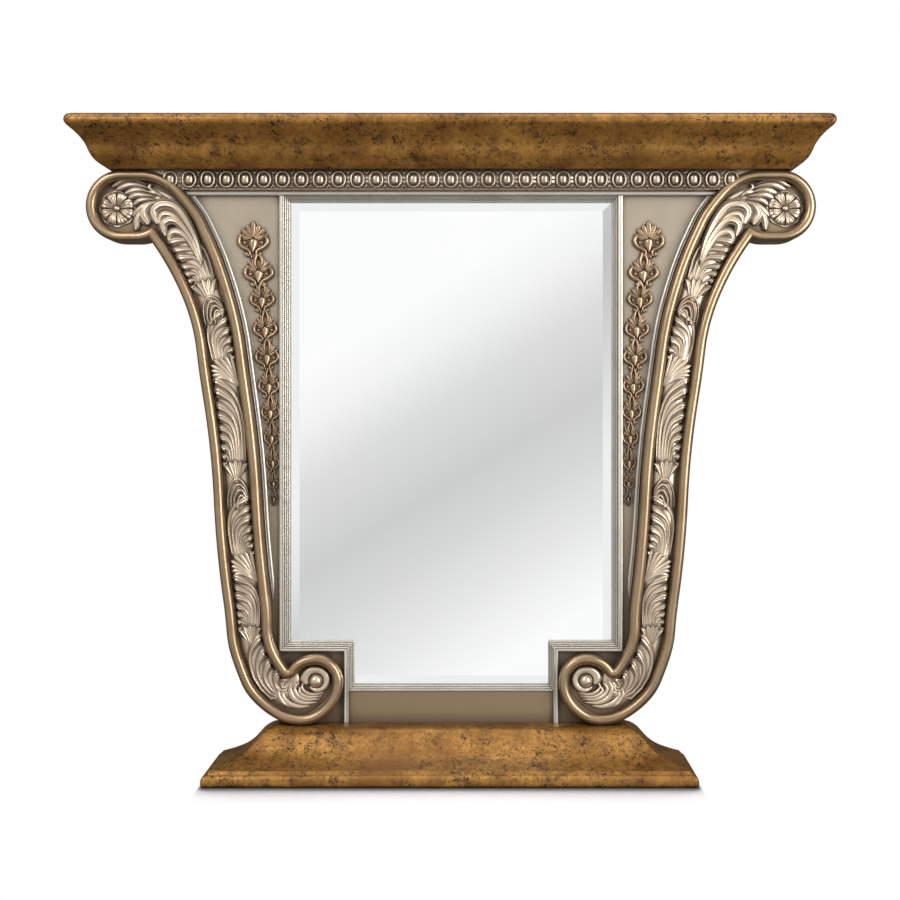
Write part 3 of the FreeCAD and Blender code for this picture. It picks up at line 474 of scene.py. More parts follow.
class Carving:
    """Collects closed forms made of rings of points; lobes and domes stand on the plane at y = base."""

    def __init__(self, base=0.0):
        self.base = base
        self.points = []
        self.faces = []
        self.depths = []
        self.count = 0

    def rings(self, rings, depths, closed=False):
        """Skins rings (n, k, 3); the ends are capped unless the rings run round in a loop."""
        rings = np.array(rings)
        n, k = rings.shape[:2]
        grid = np.arange(n * k).reshape(n, k) + self.count
        rows = grid if closed else grid[:-1]
        after = np.roll(grid, -1, axis=0) if closed else grid[1:]
        quads = np.stack([rows, np.roll(rows, -1, axis=1), np.roll(after, -1, axis=1), after], axis=2)
        self.faces += quads.reshape(-1, 4).tolist()
        if not closed:
            self.faces += [grid[0][::-1].tolist(), grid[-1].tolist()]
        self.points.append(rings.reshape(-1, 3))
        self.depths.append(np.broadcast_to(depths, (n, k)).reshape(-1))
        self.count += n * k

    def lobe(self, path, half, rise, seat, groove=0.0, plump=0.75, dirt=1.0, folds=0):
        """A rounded lobe along a path of (x, z): half width, rise and seat above base (all may vary)."""
        n = len(path)
        half, rise, seat = (np.broadcast_to(value, n)[:, None] for value in (half, rise, seat))
        along = np.gradient(path, axis=0)
        along /= np.maximum(np.linalg.norm(along, axis=1, keepdims=True), 1e-9)
        across = np.stack([-along[:, 1], along[:, 0]], axis=1)
        c = np.sin(np.linspace(-1, 1, lobe_samples + 4 * folds) * math.pi / 2)
        if folds:
            dent = 0.5 - 0.5 * np.cos(folds * math.pi * c + folds * math.pi)
        else:
            dent = np.exp(-(c / groove_share) ** 2)
        top = seat + rise * (np.maximum(1 - c ** 2, 0) ** plump - groove * dent)
        spots = path[:, None, :] + across[:, None, :] * (half * c)[:, :, None]
        upper = np.stack([spots[:, :, 0], self.base - top, spots[:, :, 1]], axis=2)
        foot = upper[:, [-1, 0]]
        foot[:, :, 1] = self.base
        # The stored depth paints glaze and shade into the colour: strongest at the lobe's edges and in its
        # groove.
        depth = np.concatenate([dirt * np.abs(c) ** 3.0 + 1.8 * groove * dent ** 2, [1, 1]])
        self.rings(np.concatenate([upper, foot], axis=1), depth)

    def stroke(self, places, steps, half, taper, rise, seat, swell=0.0, **look):
        """A tapered lobe on a smooth line through places; its seat swells midway."""
        t = np.linspace(0, 1, steps)
        seat = seat + swell * np.sin(math.pi * t)
        self.lobe(rounded_path(places, steps), half * tapered(t, *taper), rise, seat, **look)

    def dome(self, x, z, profile, count=8, squash=1.0):
        """A turned form: profile holds (radius, height above base) from its foot to its top."""
        a = turned(count)
        depth = np.linspace(1, 0, len(profile))[:, None] ** 2
        self.rings([ring(x + r * squash * np.cos(a), self.base - h, z + r * np.sin(a)) for r, h in profile],
                   depth)

    def build(self, name, slot, node, mirror=1, body="mirror"):
        """Makes the mesh and lets it ride on its body in place of its node."""
        points = np.concatenate(self.points)
        faces = self.faces
        if mirror < 0:
            points = points * (-1, 1, 1)
            faces = [face[::-1] for face in faces]
        mesh = bpy.data.meshes.new(name)
        mesh.from_pydata(points.tolist(), [], faces)
        depth = np.clip(np.concatenate(self.depths), 0, 1)
        store = mesh.color_attributes.new("stored_glaze_and_shade", "FLOAT_COLOR", "POINT")
        store.data.foreach_set("color", np.repeat(depth, 4))
        mesh.polygons.foreach_set("use_smooth", [True] * len(faces))
        made = bpy.data.objects.new(name, mesh)
        bpy.context.scene.collection.objects.link(made)
        made.data.materials.append(finishes[slot])
        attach(made, body)
        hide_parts(node)
        return made

    def build_sides(self, name, slot, node):
        """One piece on the right and its mirror image on the left."""
        return [self.build(name + side, slot, node + side, mirror) for side, mirror in sides]


sides = (("_right", 1), ("_left", -1))


# The channel between the two rims: its middle line, half width and places beside it.
def middle_line():
    """Midway points from the head down to the valley, with the channel's half width there."""
    upper = np.array([p for p, n in smooth_chain(upper_scroll_shares)])
    lower = np.array([p for p, n in smooth_chain(lower_scroll_shares)])[::-1]
    highest = scroll_place((0, 2.88))[1]
    inner = upper[(upper[:, 1] < highest) & (upper[:, 0] < scroll_place((0.72, 0))[0])]
    outer = lower[lower[:, 0] > scroll_place((0.21, 0))[0]]
    out = []
    for p in outer:
        q = inner[np.argmin(np.linalg.norm(inner - p, axis=1))]
        out.append([*(p + q) / 2, np.linalg.norm(p - q) / 2 - rim_width])
    return np.array(out)


def even_line(line, count, window):
    """The line at even steps, its corners rubbed off by a running mean."""
    run = run_along(line[:, :2])
    even = np.linspace(0, run[-1], count)
    line = np.stack([np.interp(even, run, line[:, k]) for k in range(3)], axis=1)
    edge = window // 2
    mean = np.ones(window) / window
    line[edge:-edge] = np.stack([np.convolve(line[:, k], mean, "valid") for k in range(3)], axis=1)
    return line


spine = even_line(middle_line(), 400, 21)
spine_run = run_along(spine[:, :2])
spine_way = np.gradient(spine[:, :2], axis=0)
spine_side = np.stack([spine_way[:, 1], -spine_way[:, 0]], axis=1)
spine_side /= np.linalg.norm(spine_side, axis=1, keepdims=True)
channel_gap = 0.0012
leaf_half = 0.0235
leaf_dome = 0.0085


def run_at(z):
    """Distance along the middle line to a height."""
    return float(np.interp(-z, -spine[:, 1], spine_run))


def channel_place(u, s):
    """A place beside the middle line: u runs from -1 at the outer rim to 1 at the inner one."""
    centre = np.stack([np.interp(s, spine_run, spine[:, k]) for k in range(2)], axis=-1)
    side = np.stack([np.interp(s, spine_run, spine_side[:, k]) for k in range(2)], axis=-1)
    half = np.interp(s, spine_run, spine[:, 2]) - channel_gap
    return centre + side * (u * half)[..., None]


def dome_at(u):
    """How high a leaf stands in its middle."""
    return leaf_dome * (1 - 0.72 * np.clip(np.abs(u), 0, 1) ** 2)


def leaf_path(u, v, root, top):
    """A path in the channel from places across it and shares of the leaf's height."""
    return channel_place(u, root - (root - top) * v)


# Lobes of a rising leaf, in metres: half widths, the part of their rise that all share, and lifts. Their
# outline: shares of the half width at shares of the length.
rib_half_least = 0.0030
rib_half_most = 0.0120
rib_rise = 0.0014
rib_low_lift = 0.0018
rib_tip_lift = 0.0016
rib_spots = (0, 0.35, 0.70, 0.9, 1)
rib_shares = (0.25, 0.42, 0.80, 1.0, 0.80)


def feather(carving, facing, root, top, count):
    """A leaf whose ridged lobes rise from one root along one side and turn out to the other."""
    stray = np.random.default_rng(count)
    t = np.linspace(0, 1, lobe_steps)
    below = 0.0
    for rank in range(count):
        v = ((rank + 1.0) / count) ** 1.35 * (1 + stray.uniform(-0.2, 0.2) / count)
        gap, below = v - below, v
        start = -0.72 + 1.46 * v
        bends = [(start, 0), (start + 0.14 * v, 0.32 * v), (start + 0.12 * v, 0.60 * v),
                 (0.74 * start - 0.14, 0.815 * v), (-0.72, 0.965 * v), (-1.0, 0.945 * v - 0.015)]
        line = rounded_path(bends, lobe_steps)
        half = min(max(0.52 * (root - top) * gap, rib_half_least), rib_half_most)
        half = half * (1 + stray.uniform(-0.08, 0.08))
        half = half * np.interp(t, rib_spots, rib_shares)
        half = half * np.maximum(1 - grown(t, 0.84, 0.16) ** 2, 0.0004) ** 0.6
        lift = dome_at(line[:, 0]) * 0.60 + rib_low_lift * (1 - v) + rib_tip_lift * grown(t, 0.5, 0.4)
        lift = lift * (0.45 + 0.55 * grown(t, 0, 0.3)) * (1 - 0.35 * grown(t, 0.85, 0.15))
        path = leaf_path(-facing * line[:, 0], line[:, 1], root, top)
        carving.lobe(path, half, rib_rise + 0.60 * half, lift, groove=0.26, plump=0.8, folds=3)


cup_rise = 0.0066
cup_tip_lift = 0.0058


def crown(carving, root, top, count=5):
    """A cup of ridged leaves that opens upwards and curls out at its tips."""
    t = np.linspace(0, 1, lobe_steps)
    places = [2 * i / (count - 1) - 1 for i in range(count)]
    for w in sorted(places, key=lambda w: -abs(w)):
        u = w * (0.18 + 0.72 * t ** 1.7) + 0.10 * w * np.clip(t - 0.8, 0, 1) / 0.2
        v = t * (1.08 - 0.16 * w * w) - 0.45 * np.clip(t - 0.82, 0, 1) * abs(w)
        half = leaf_half * (0.09 + 0.22 * tapered(t, 0.1, 0.74, 0.9))
        half = half * np.maximum(1 - grown(t, 0.78, 0.22) ** 1.5, 0.01)
        lift = dome_at(w) * 0.40 + cup_tip_lift * t ** 2.4
        rise = cup_rise * (1 - 0.55 * t ** 3)
        carving.lobe(leaf_path(u, v, root, top), half, rise, lift, plump=0.8, groove=0.34, folds=3)


cane_rise = 0.0056
cane_lift = 0.0010


def canes(carving, root, top, count=4):
    """Nested ridges that rise from one side and hook over to the other."""
    t = np.linspace(0, 1, lobe_steps)
    for i in range(count):
        size = 1 - 0.20 * i
        bends = [(-0.92 * size, -0.10), (-0.86 * size, 0.45 * size), (-0.35 * size, 0.92 * size),
                 (0.30 * size, 0.96 * size), (0.82 * size, 0.62 * size), (0.96 * size, 0.20 * size)]
        line = rounded_path(bends, lobe_steps)
        lift = dome_at(line[:, 0]) * 0.55 + cane_lift * i
        path = leaf_path(line[:, 0] * 0.88 + 0.10 * i, line[:, 1], root, top)
        carving.lobe(path, leaf_half * 0.17 * tapered(t, 0.30, 0.66), cane_rise, lift, plump=1.3)


pad_rise = 0.0055
pad_foot = 0.0002
pad_seat = 0.0003
pad_fade = 0.02


def pad(carving, start, stop):
    """The low dome that the lobes stand on."""
    s = np.linspace(start, stop, 150)
    ends = np.clip(np.minimum(s - start, stop - s) / pad_fade, 0, 1)
    half = leaf_half * 0.93 * np.sqrt(np.maximum(ends, 0.001))
    path = channel_place(np.zeros(len(s)), s)
    carving.lobe(path, half, pad_rise * ends + pad_foot, pad_seat, plump=0.7, dirt=0.6)


# A leaf turned over: root and tips of its ridges, as places across the channel and shares of its height.
flap_root = (0.95, -0.42)
flap_tips = ((-0.90, 0.02), (-0.95, 0.24), (-0.96, 0.46), (-0.93, 0.69), (-0.62, 0.90), (-0.20, 0.98),
             (0.22, 1.03), (0.68, 1.06))
flap_half = 0.0046
flap_rise = 0.0032
flap_tip_lift = 0.0026


def flap(carving, root, top):
    """A leaf turned over: ridges fanned from the inner side out to the other."""
    t = np.linspace(0, 1, lobe_steps)
    for tip in flap_tips:
        middle = [0.45 * a + 0.55 * b for a, b in zip(flap_root, tip)]
        line = rounded_path([flap_root, (middle[0], middle[1] + 0.24 - 0.18 * tip[1]), tip], lobe_steps)
        lift = (dome_at(line[:, 0]) * 0.50 + flap_tip_lift * t) * (0.30 + 0.70 * grown(t, 0, 0.35))
        path = leaf_path(line[:, 0], line[:, 1], root, top)
        carving.lobe(path, flap_half * tapered(t, 0.3, 0.86), flap_rise, lift, plump=0.8, groove=0.15)


# Heights, in metres, at which the leaves of the chain start and stop.
feather_rows = ((-1, 0.894, 0.992, 7), (1, 0.752, 0.850, 6), (-1, 0.560, 0.729, 9),
                (1, 0.392, 0.507, 7), (-1, 0.256, 0.362, 7))
crown_rows = ((0.862, 0.906), (0.530, 0.572), (0.226, 0.268))
cane_rows = ((0.828, 0.874), (0.486, 0.538))
flap_rows = ((0.722, 0.764), (0.360, 0.402))
pad_row = (1.010, 0.150)
last_leaf_top = 0.250
last_leaf_margin = 0.002

# Lobes round the rosette: places from the volute's centre in its radii, root first, and half width in metres.
head_lobes = (
    ((-0.70, 0.60), (-0.36, 0.72), (-0.02, 0.72), (0.33, 0.54), 0.0042),
    ((-0.74, 0.50), (-0.45, 0.60), (-0.15, 0.60), (0.18, 0.47), 0.0056),
    ((-0.80, 0.38), (-0.54, 0.46), (-0.32, 0.46), (-0.06, 0.37), 0.0058),
    ((-0.90, 0.28), (-0.62, 0.32), (-0.38, 0.32), (-0.15, 0.23), 0.0056),
    ((-0.92, 0.20), (-0.66, 0.20), (-0.46, 0.16), (-0.30, 0.04), 0.0054),
    ((-0.90, 0.13), (-0.64, 0.06), (-0.44, -0.10), (-0.28, -0.28), 0.0050),
    ((-0.80, 0.04), (-0.54, -0.12), (-0.40, -0.38), (-0.38, -0.68), 0.0068),
    ((-1.02, 0.14), (-0.72, 0.04), (-0.57, -0.22), (-0.74, -0.52), 0.0098),
    ((-1.10, 0.26), (-0.98, 0.36), (-0.86, 0.40), (-0.70, 0.42), 0.0050),
    ((-2.24, -1.55), (-2.02, -0.84), (-1.56, -0.08), (-1.12, 0.06), (-0.86, -0.14), (-0.99, -0.52), 0.0110),
    ((-2.10, -1.40), (-1.84, -0.80), (-1.50, -0.32), (-1.18, -0.20), (-1.02, -0.36), (-1.08, -0.58), 0.0070),
    ((-2.22, -1.62), (-1.96, -0.96), (-1.58, -0.46), (-1.30, -0.38), (-1.12, -0.54), (-1.22, -0.86), 0.0092),
    ((-2.22, -1.70), (-1.98, -1.16), (-1.70, -0.78), (-1.44, -0.70), (-1.30, -0.84), (-1.35, -1.08), 0.0076),
)
volute_radius = 0.066
# Those lobes, the bed under them, the hatched stem between them, and the knob at its tip.
spray_rise = 0.0016
spray_seat = 0.0035
spray_stagger = 0.0008
spray_look = dict(taper=(0.24, 0.78), swell=0.0040, groove=0.22, plump=0.7, folds=3)
bed_places = ((-1.75, -0.60), (-1.35, 0.00), (-0.85, 0.25), (-0.30, 0.45))
bed_look = dict(half=0.0170, taper=(0.5, 0.5, 0.6), rise=0.0040, seat=0.0004, dirt=2.0)
stem_places = ((-0.72, 0.52), (-1.12, 0.36), (-1.50, 0.10), (-1.84, -0.32), (-2.10, -0.84))
stem_steps = 60
stem_rise = 0.0028
stem_hatch = 0.0005
stem_look = dict(half=0.0056, taper=(0.5, 0.45, 0.7), seat=0.0034, plump=0.5, groove=0.2, folds=3)
knob_places = ((-0.80, 0.62), (-0.74, 0.54), (-0.86, 0.44))
knob_look = dict(half=0.0036, taper=(0.5, 0.5), rise=0.0036, seat=0.0060)


def head_spray(carving):
    """Lobes that fan out from the head of the stem round the rosette."""
    centre = (stile_high.x - volute_radius, stile_high.z - volute_radius)

    def lay(places, steps, **look):
        carving.stroke(scaled(centre, places, volute_radius), steps, **look)

    lay(bed_places, 40, **bed_look)
    for i, (*places, half) in enumerate(head_lobes):
        seat = spray_seat + spray_stagger * (i % 2)
        lay(places, 8 * len(places), half=half, rise=0.50 * half + spray_rise, seat=seat, **spray_look)
    hatch = stem_hatch * np.cos(stem_steps * math.pi * np.linspace(0, 1, stem_steps))
    lay(stem_places, stem_steps, rise=stem_rise + hatch, **stem_look)
    lay(knob_places, 12, **knob_look)


# Crescents under the eye, in metres from its middle, from their tops round to their tips, and half width.
swirl_lobes = (
    ((0.0590, -0.0130), (0.0610, -0.0290), (0.0500, -0.0420), (0.0310, -0.0480), (0.0100, -0.0465), 0.0056),
    ((0.0400, 0.0010), (0.0480, -0.0140), (0.0420, -0.0320), (0.0235, -0.0410), (-0.0035, -0.0400), 0.0056),
    ((0.0320, -0.0040), (0.0395, -0.0150), (0.0335, -0.0280), (0.0176, -0.0350), (-0.0080, -0.0335), 0.0048),
    ((0.0260, -0.0090), (0.0310, -0.0180), (0.0250, -0.0262), (0.0118, -0.0305), (-0.0110, -0.0280), 0.0042),
    ((0.0215, -0.0010), (0.0262, -0.0118), (0.0188, -0.0215), (0.0047, -0.0255), (-0.0150, -0.0215), 0.0038),
    ((0.0660, -0.0110), (0.0690, -0.0250), (0.0620, -0.0390), (0.0510, -0.0470), (0.0420, -0.0510), 0.0040),
)
swirl_steps = 32
swirl_look = dict(taper=(0.35, 0.45, 0.7), rise=0.0046, seat=0.0028, swell=0.0030, groove=0.22, folds=1)
swirl_bed = ((0.0860, -0.0120), (0.0650, -0.0300), (0.0360, -0.0370), (0.0060, -0.0340), (-0.0160, -0.0200))
swirl_bed_look = dict(half=0.0165, taper=(0.5, 0.35, 0.7), rise=0.0036, seat=0.0003, plump=0.8, dirt=0.9)


def swirl(carving):
    """Lobes of the last leaf, which wind round under the eye."""
    eye = scroll_place(eye_place_shares)
    carving.stroke(scaled(eye, swirl_bed), swirl_steps, **swirl_bed_look)
    for *places, half in swirl_lobes:
        carving.stroke(scaled(eye, places), swirl_steps, half, **swirl_look)


def acanthus():
    """The chain of leaves in the channel of each stile."""
    carving = Carving(floor_y)
    pad(carving, *map(run_at, pad_row))
    for facing, low, high, count in feather_rows:
        feather(carving, facing, run_at(low), run_at(high), count)
    for kind, rows in ((crown, crown_rows), (canes, cane_rows), (flap, flap_rows)):
        for low, high in rows:
            kind(carving, run_at(low), run_at(high))
    feather(carving, 1, spine_run[-1] - last_leaf_margin, run_at(last_leaf_top), 7)
    head_spray(carving)
    swirl(carving)
    carving.build_sides("acanthus", "champagne_carving", "acanthus_carving")


def stile_rims():
    """A round rim all the way round the stile, mitred at the notch and fanned at the valley."""
    upper = smooth_chain(upper_scroll_shares)
    lower = smooth_chain(lower_scroll_shares)
    valley, arriving = upper[-1]
    turn = math.acos(float(arriving @ lower[0][1]))
    fan = []
    for a in np.linspace(0, turn, 12)[1:-1]:
        c, s = math.cos(a), -math.sin(a)
        fan.append((valley, np.array([c * arriving[0] - s * arriving[1], s * arriving[0] + c * arriving[1]])))
    mitre = (lower[-1][1] + upper[0][1]) / (1 + lower[-1][1] @ upper[0][1])
    stations = upper + fan + lower + [(upper[0][0], mitre)]
    a = np.linspace(0, math.pi, 33)
    inset = rim_width / 2 * (1 - np.cos(a))
    high = (rim_high.y - rim_low.y) * np.sin(a) ** 0.9
    carving = Carving()
    carving.rings([ring(p[0] + n[0] * inset, rim_high.y - high, p[1] + n[1] * inset) for p, n in stations],
                  np.abs(np.cos(a)) ** 6, closed=True)
    carving.build_sides("stile_rim", "antique_gold", "scroll_rim")


# The rosette: its plate as shares of its size and heights in metres, its petals and its ball.
petals = 8
flower_share = 1.08
plate_share = 1.07
plate_steps = ((1.0, 0.0), (1.0, 0.0028), (0.965, 0.0034), (0.93, 0.0026), (0.60, 0.0026))
plate_crest = 0.003
petal_seat = 0.0040
petal_cup = 0.0046
petal_lean = 0.0010
petal_ridge = 0.0009
petal_crease = 0.0042
petal_drop = 0.0030
petal_least = 0.0020
ball_radius = 0.0050
ball_foot = 0.0035
ball_waist = 0.0074
cap_least = 0.0001


def rosettes():
    """A flower of eight cupped petals on a thin eight-sided plate, with a ball in its middle."""
    low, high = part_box("rosette_right")
    x, z = (low.x + high.x) / 2, (low.z + high.z) / 2
    radius = (high.x - low.x) / 2 * flower_share
    a = turned(petals * 28)
    fold = np.abs(np.sin(a * petals / 2))
    carving = Carving(floor_y)

    def level(reach, height):
        return ring(x + reach * np.cos(a), floor_y - height, z + reach * np.sin(a))

    plate = plate_share * radius * (0.955 + 0.045 * np.abs(np.cos(a * petals / 2)) ** 3)
    # The plate's low rings are painted with glaze and shade through their stored depth.
    carving.rings([level(plate * scale, height) for scale, height in plate_steps],
                  [[0.0 if height > plate_crest else 0.9] for scale, height in plate_steps])
    rings, depths = [], []
    edge = radius * (1.00 - 0.10 * (1 - fold) ** 3)
    for t in np.linspace(1.0, 0.10, 26):
        cup = petal_seat + petal_cup * math.sin(math.pi * min(1, t ** 1.6)) ** 0.8 + petal_lean * t
        ridges = petal_ridge * np.cos(a * petals * 3 + math.pi) * math.sin(math.pi * min(1, t ** 1.1))
        ridges = ridges * np.clip(fold * 2, 0, 1)
        crease = petal_crease * (1 - np.clip(fold / 0.30, 0, 1)) ** 1.3 * min(1, 2 * t)
        rim = petal_drop * max(0, (t - 0.90) / 0.10) ** 2
        rings.append(level(edge * t, np.maximum(cup + ridges - crease - rim, petal_least)))
        # Stored depth that paints glaze and shade between the petals, at their rims and round the ball.
        depths.append(np.clip((1 - np.clip(fold / 0.22, 0, 1)) + (t > 0.97) * 0.7 + 0.25 * (t < 0.3), 0, 1))
    # The outer ring stands twice, so that the flower's back shades apart from its petals.
    carving.rings([rings[0]] + rings, [depths[0]] + depths)
    profile = [(ball_radius, ball_foot), (ball_radius, ball_waist)]
    profile += cap(ball_radius, ball_radius * 0.9, ball_waist, 9, cap_least)
    carving.dome(x, z, profile, 32, 1.15)
    carving.build_sides("rosette", "champagne_carving", "rosette")


# The roll round the eye: its way round in degrees, its size along it, and its section in metres.
roll_start = -26
roll_turn = 340
roll_spots = (0, 0.012, 0.035, 0.07, 0.11, 0.18, 0.34, 0.56, 0.70, 0.84, 1.0)
roll_sizes = (0.05, 0.60, 0.95, 1.22, 1.38, 1.36, 1.06, 1.12, 0.98, 0.80, 0.45)
roll_gap = 0.0011
roll_width = 0.0138
roll_rise = 0.0096
roll_crest_share = 0.50
eye_rise_share = 0.86
eye_share = 1.05


def volutes():
    """The eye of the lower volute and the roll that curls over it and thins out below it."""
    low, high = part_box("volute_eye_right")
    x, z = (low.x + high.x) / 2, (low.z + high.z) / 2
    radius = (high.x - low.x) / 2 * eye_share
    lift = (high.y - low.y) - radius * eye_rise_share
    profile = [(radius * 0.90, 0.0), (radius, lift * 0.4)]
    profile += cap(radius, radius * eye_rise_share, lift, 14, cap_least)
    eye = Carving(high.y)
    eye.dome(x, z, profile, 56)
    eye.build_sides("volute_eye", "champagne_carving", "volute_eye")
    t = np.linspace(0, 1, 90)
    u = (1 - np.cos(np.linspace(0, math.pi, 25))) / 2
    inward = np.minimum((u / 0.05) ** 0.5, 1)
    inward = inward * (0.85 + 0.15 * np.sin(math.pi / 2 * np.minimum(u / roll_crest_share, 1)))
    section = inward * np.sqrt(1 - (np.maximum(u - roll_crest_share, 0) / (1 - roll_crest_share)) ** 2)
    rings = []
    for angle, size in zip(np.radians(roll_start + roll_turn * t), np.interp(t, roll_spots, roll_sizes)):
        r = radius + roll_gap + roll_width * size * u
        rise = roll_rise * section * min(1, size + 0.25)
        rings.append(ring(x + r * np.cos(angle), high.y - rise, z + r * np.sin(angle)))
    roll = Carving()
    roll.rings(rings, np.clip(1 - 12 * u * (1 - u), 0, 1))
    roll.build_sides("volute_roll", "champagne_carving", "volute_roll")


# Palmette drop: heights of the buds, in metres, and each unit's half width and half height.
palmette_rows = (
    (0.9735, 0.0272, 0.0300), (0.9155, 0.0262, 0.0270), (0.8667, 0.0217, 0.0252), (0.8115, 0.0212, 0.0258),
    (0.7600, 0.0212, 0.0252), (0.7065, 0.0188, 0.0250), (0.6580, 0.0168, 0.0236), (0.6110, 0.0138, 0.0226),
    (0.5650, 0.0112, 0.0210), (0.5270, 0.0090, 0.0160), (0.4990, 0.0066, 0.0130))
palmette_share = 0.45
# Parts of a unit, to one side, in its half width and half height from the bud: places and half width.
fan_petals = (
    ((0.12, 0.30), (0.60, 0.42), (1.02, 0.60), 0.17), ((0.10, 0.34), (0.48, 0.62), (0.82, 0.95), 0.19),
    ((0.06, 0.38), (0.26, 0.80), (0.42, 1.18), 0.19))
side_petals = (
    ((0.16, 0.28), (0.58, 0.46), (0.94, 0.68), 0.15), ((0.14, 0.32), (0.46, 0.64), (0.72, 0.96), 0.15),
    ((0.14, 0.36), (0.36, 0.76), (0.40, 1.12), 0.13))
inner_curls = (
    ((0.24, 0.34), (0.52, 0.46), (0.80, 0.36), 0.07), ((0.26, 0.18), (0.46, 0.30), (0.66, 0.22), 0.07),
    ((0.22, -0.10), (0.44, -0.16), (0.66, -0.04), 0.06), ((0.46, 0.08), (0.58, 0.12), (0.66, 0.02), 0.10),
    ((0.10, -0.50), (0.14, -0.70), (0.10, -0.90), 0.08))
husk_bends = ((0.10, 0.42), (0.25, 0.92), (0.07, 1.50))
ground_bends = ((0, -0.95), (0, 0.05), (0, 1.05))
spike_bends = ((0, 0.38), (0, 0.85), (0, 1.42))
bud_bends = ((0, -0.56), (0, -0.16), (0, 0.30))
scroll_bends = ((0.50, 0.62), (0.84, 0.46), (0.97, 0.12), (0.76, -0.18), (0.38, -0.36), (0.20, -0.54),
                (0.32, -0.74), (0.54, -0.66), (0.46, -0.52))
palmette_relief = 0.0062
palmette_full_width = 0.027
palmette_gap = 0.0085


def palmette(carving, x, z, wide, high, first):
    """A fan of petals over a bud, between two C scrolls that end in curls under it."""
    relief = palmette_relief * (0.60 + 0.40 * wide / palmette_full_width)

    def put(places, half, rise, seat, taper=(0.3, 0.7), side=1, **look):
        carving.stroke(scaled((x, z), places, side * wide, high), 6 + 3 * len(places), wide * half, taper,
                       relief * rise, relief * seat, plump=0.8, **look)

    # The low ground under each unit takes a high stored depth, painted dark with glaze and shade.
    put(ground_bends, 0.84, 0.12, 0.01, (0.25, 0.52), dirt=9.0)
    for side in (-1, 1):
        for *places, half in fan_petals if first else side_petals:
            # Side petals take more painted glaze and shade than the top fan's, so they stand darker.
            put(places, half, 0.50, 0.20, side=side, groove=0.25, dirt=1.0 if first else 2.4)
        for *places, half in inner_curls:
            put(places, half, 0.42, 0.16, (0.5, 0.6), side, dirt=1.6)
        put(scroll_bends, 0.165, 0.78, 0.34, (0.25, 0.30), side)
        curl = wide * 0.17
        carving.dome(x + side * wide * 0.46, z - high * 0.62, cap(curl, 1.05 * relief), 14)
        carving.dome(x + side * wide * 0.60, z + high * 0.04, cap(0.7 * curl, 0.75 * relief), 10)
        if not first:
            put(husk_bends, 0.15, 0.80, 0.38, side=side, dirt=0.5)
    if first:
        put(spike_bends, 0.20, 0.60, 0.36, groove=0.25)
    put(bud_bends, 0.37, 1.05, 0.36, (0.06, 0.80), dirt=0.2)


def palmette_drops():
    """The drop of palmettes on each side panel, midway between the stile and the moulding."""
    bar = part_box("sight_side_right")[1].x
    edge = np.array([p for p, n in smooth_chain(upper_scroll_shares)])
    inner = edge[edge[:, 1] < scroll_place((0, 2.971))[1]]
    carving = Carving(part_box("palmette_drop_right")[1].y)
    for i, (z, wide, tall) in enumerate(palmette_rows):
        stile = float(np.interp(-z, -inner[:, 1], inner[:, 0]))
        room = (stile - palmette_gap - bar) * palmette_share
        palmette(carving, bar + room, z, min(wide, room), tall, i == 0)
    carving.build_sides("palmette_drop", "copper_palmette", "palmette_drop")


# The bead beside each stile, in metres: where it runs out above the floor and how fast, and its section.
bead_end = 0.310
bead_fade = 0.03
bead_over = 0.002
bead_width = 0.0088
bead_rise = 0.0040
bead_margin = 0.001


def panel_beads():
    """A bead down the edge of each side panel, with a thin quirk along it, running out at its foot."""
    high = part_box("panel_bead_right")[1]
    stations = [(p, n) for p, n in smooth_chain(upper_scroll_shares)
                if bead_end < p[1] < high.z + bead_over and p[0] < scroll_place((0.72, 0))[0]]
    a = np.linspace(0, math.pi, 25)
    across = (1 - np.cos(a)) / 2
    section = np.sin(a) ** 0.8 - 0.62 * np.exp(-((across - 0.30) / 0.10) ** 2)
    rings = []
    for p, n in stations:
        full = np.clip((p[1] - bead_end) / bead_fade, 0.06, 1)
        inset = -bead_margin - bead_width * full * across
        rise = bead_rise * (0.4 + 0.6 * full) * np.maximum(section, 0)
        rings.append(ring(p[0] + n[0] * inset, high.y - rise, p[1] + n[1] * inset))
    carving = Carving()
    carving.rings(rings, np.abs(np.cos(a)) ** 5)
    carving.build_sides("panel_bead", "silver_moulding", "panel_bead")


# The frieze, in metres: its ground, its ovals, the barrel in each, and the pearls and leaves round them.
oval_spacing = 0.0344
ground_look = dict(half=0.0166, rise=0.0005, seat=0.0001, plump=0.3, dirt=9.0)
oval_look = dict(wide=0.0119, tall=0.0140, wire=0.0023, rise=0.0046, power=2.25)
barrel_look = dict(wide=0.0074, tall=0.0102, rise=0.0062)
end_pearls = ((-0.0055, 0.0108), (0, 0.0119), (0.0055, 0.0108))
end_pearl = (0.0011, 0.0026)
gap_pearls = (-0.0068, 0.0, 0.0068)
gap_pearl = (0.00135, 0.0030)
spandrel_leaf = ((0.0006, 0.0092), (0.0021, 0.0126), (0.0050, 0.0150))
spandrel_look = dict(half=0.0012, taper=(0.3, 0.6), rise=0.0026, seat=0.0006, dirt=0.6)
scallop = ((-0.0075, 0.0009), (-0.005, 0.0034), (0, 0.0046), (0.005, 0.0034), (0.0075, 0.0009))
scallop_look = dict(half=0.00075, rise=0.0016, seat=0.0002)
scallop_pearl = (0.0012, 0.0020)
scallop_pearl_inset = 0.0018
# How far the rows of scallops go past the frieze's ovals: the upper row stops short of the volutes' rims.
upper_over = -0.002
lower_over = 0.006


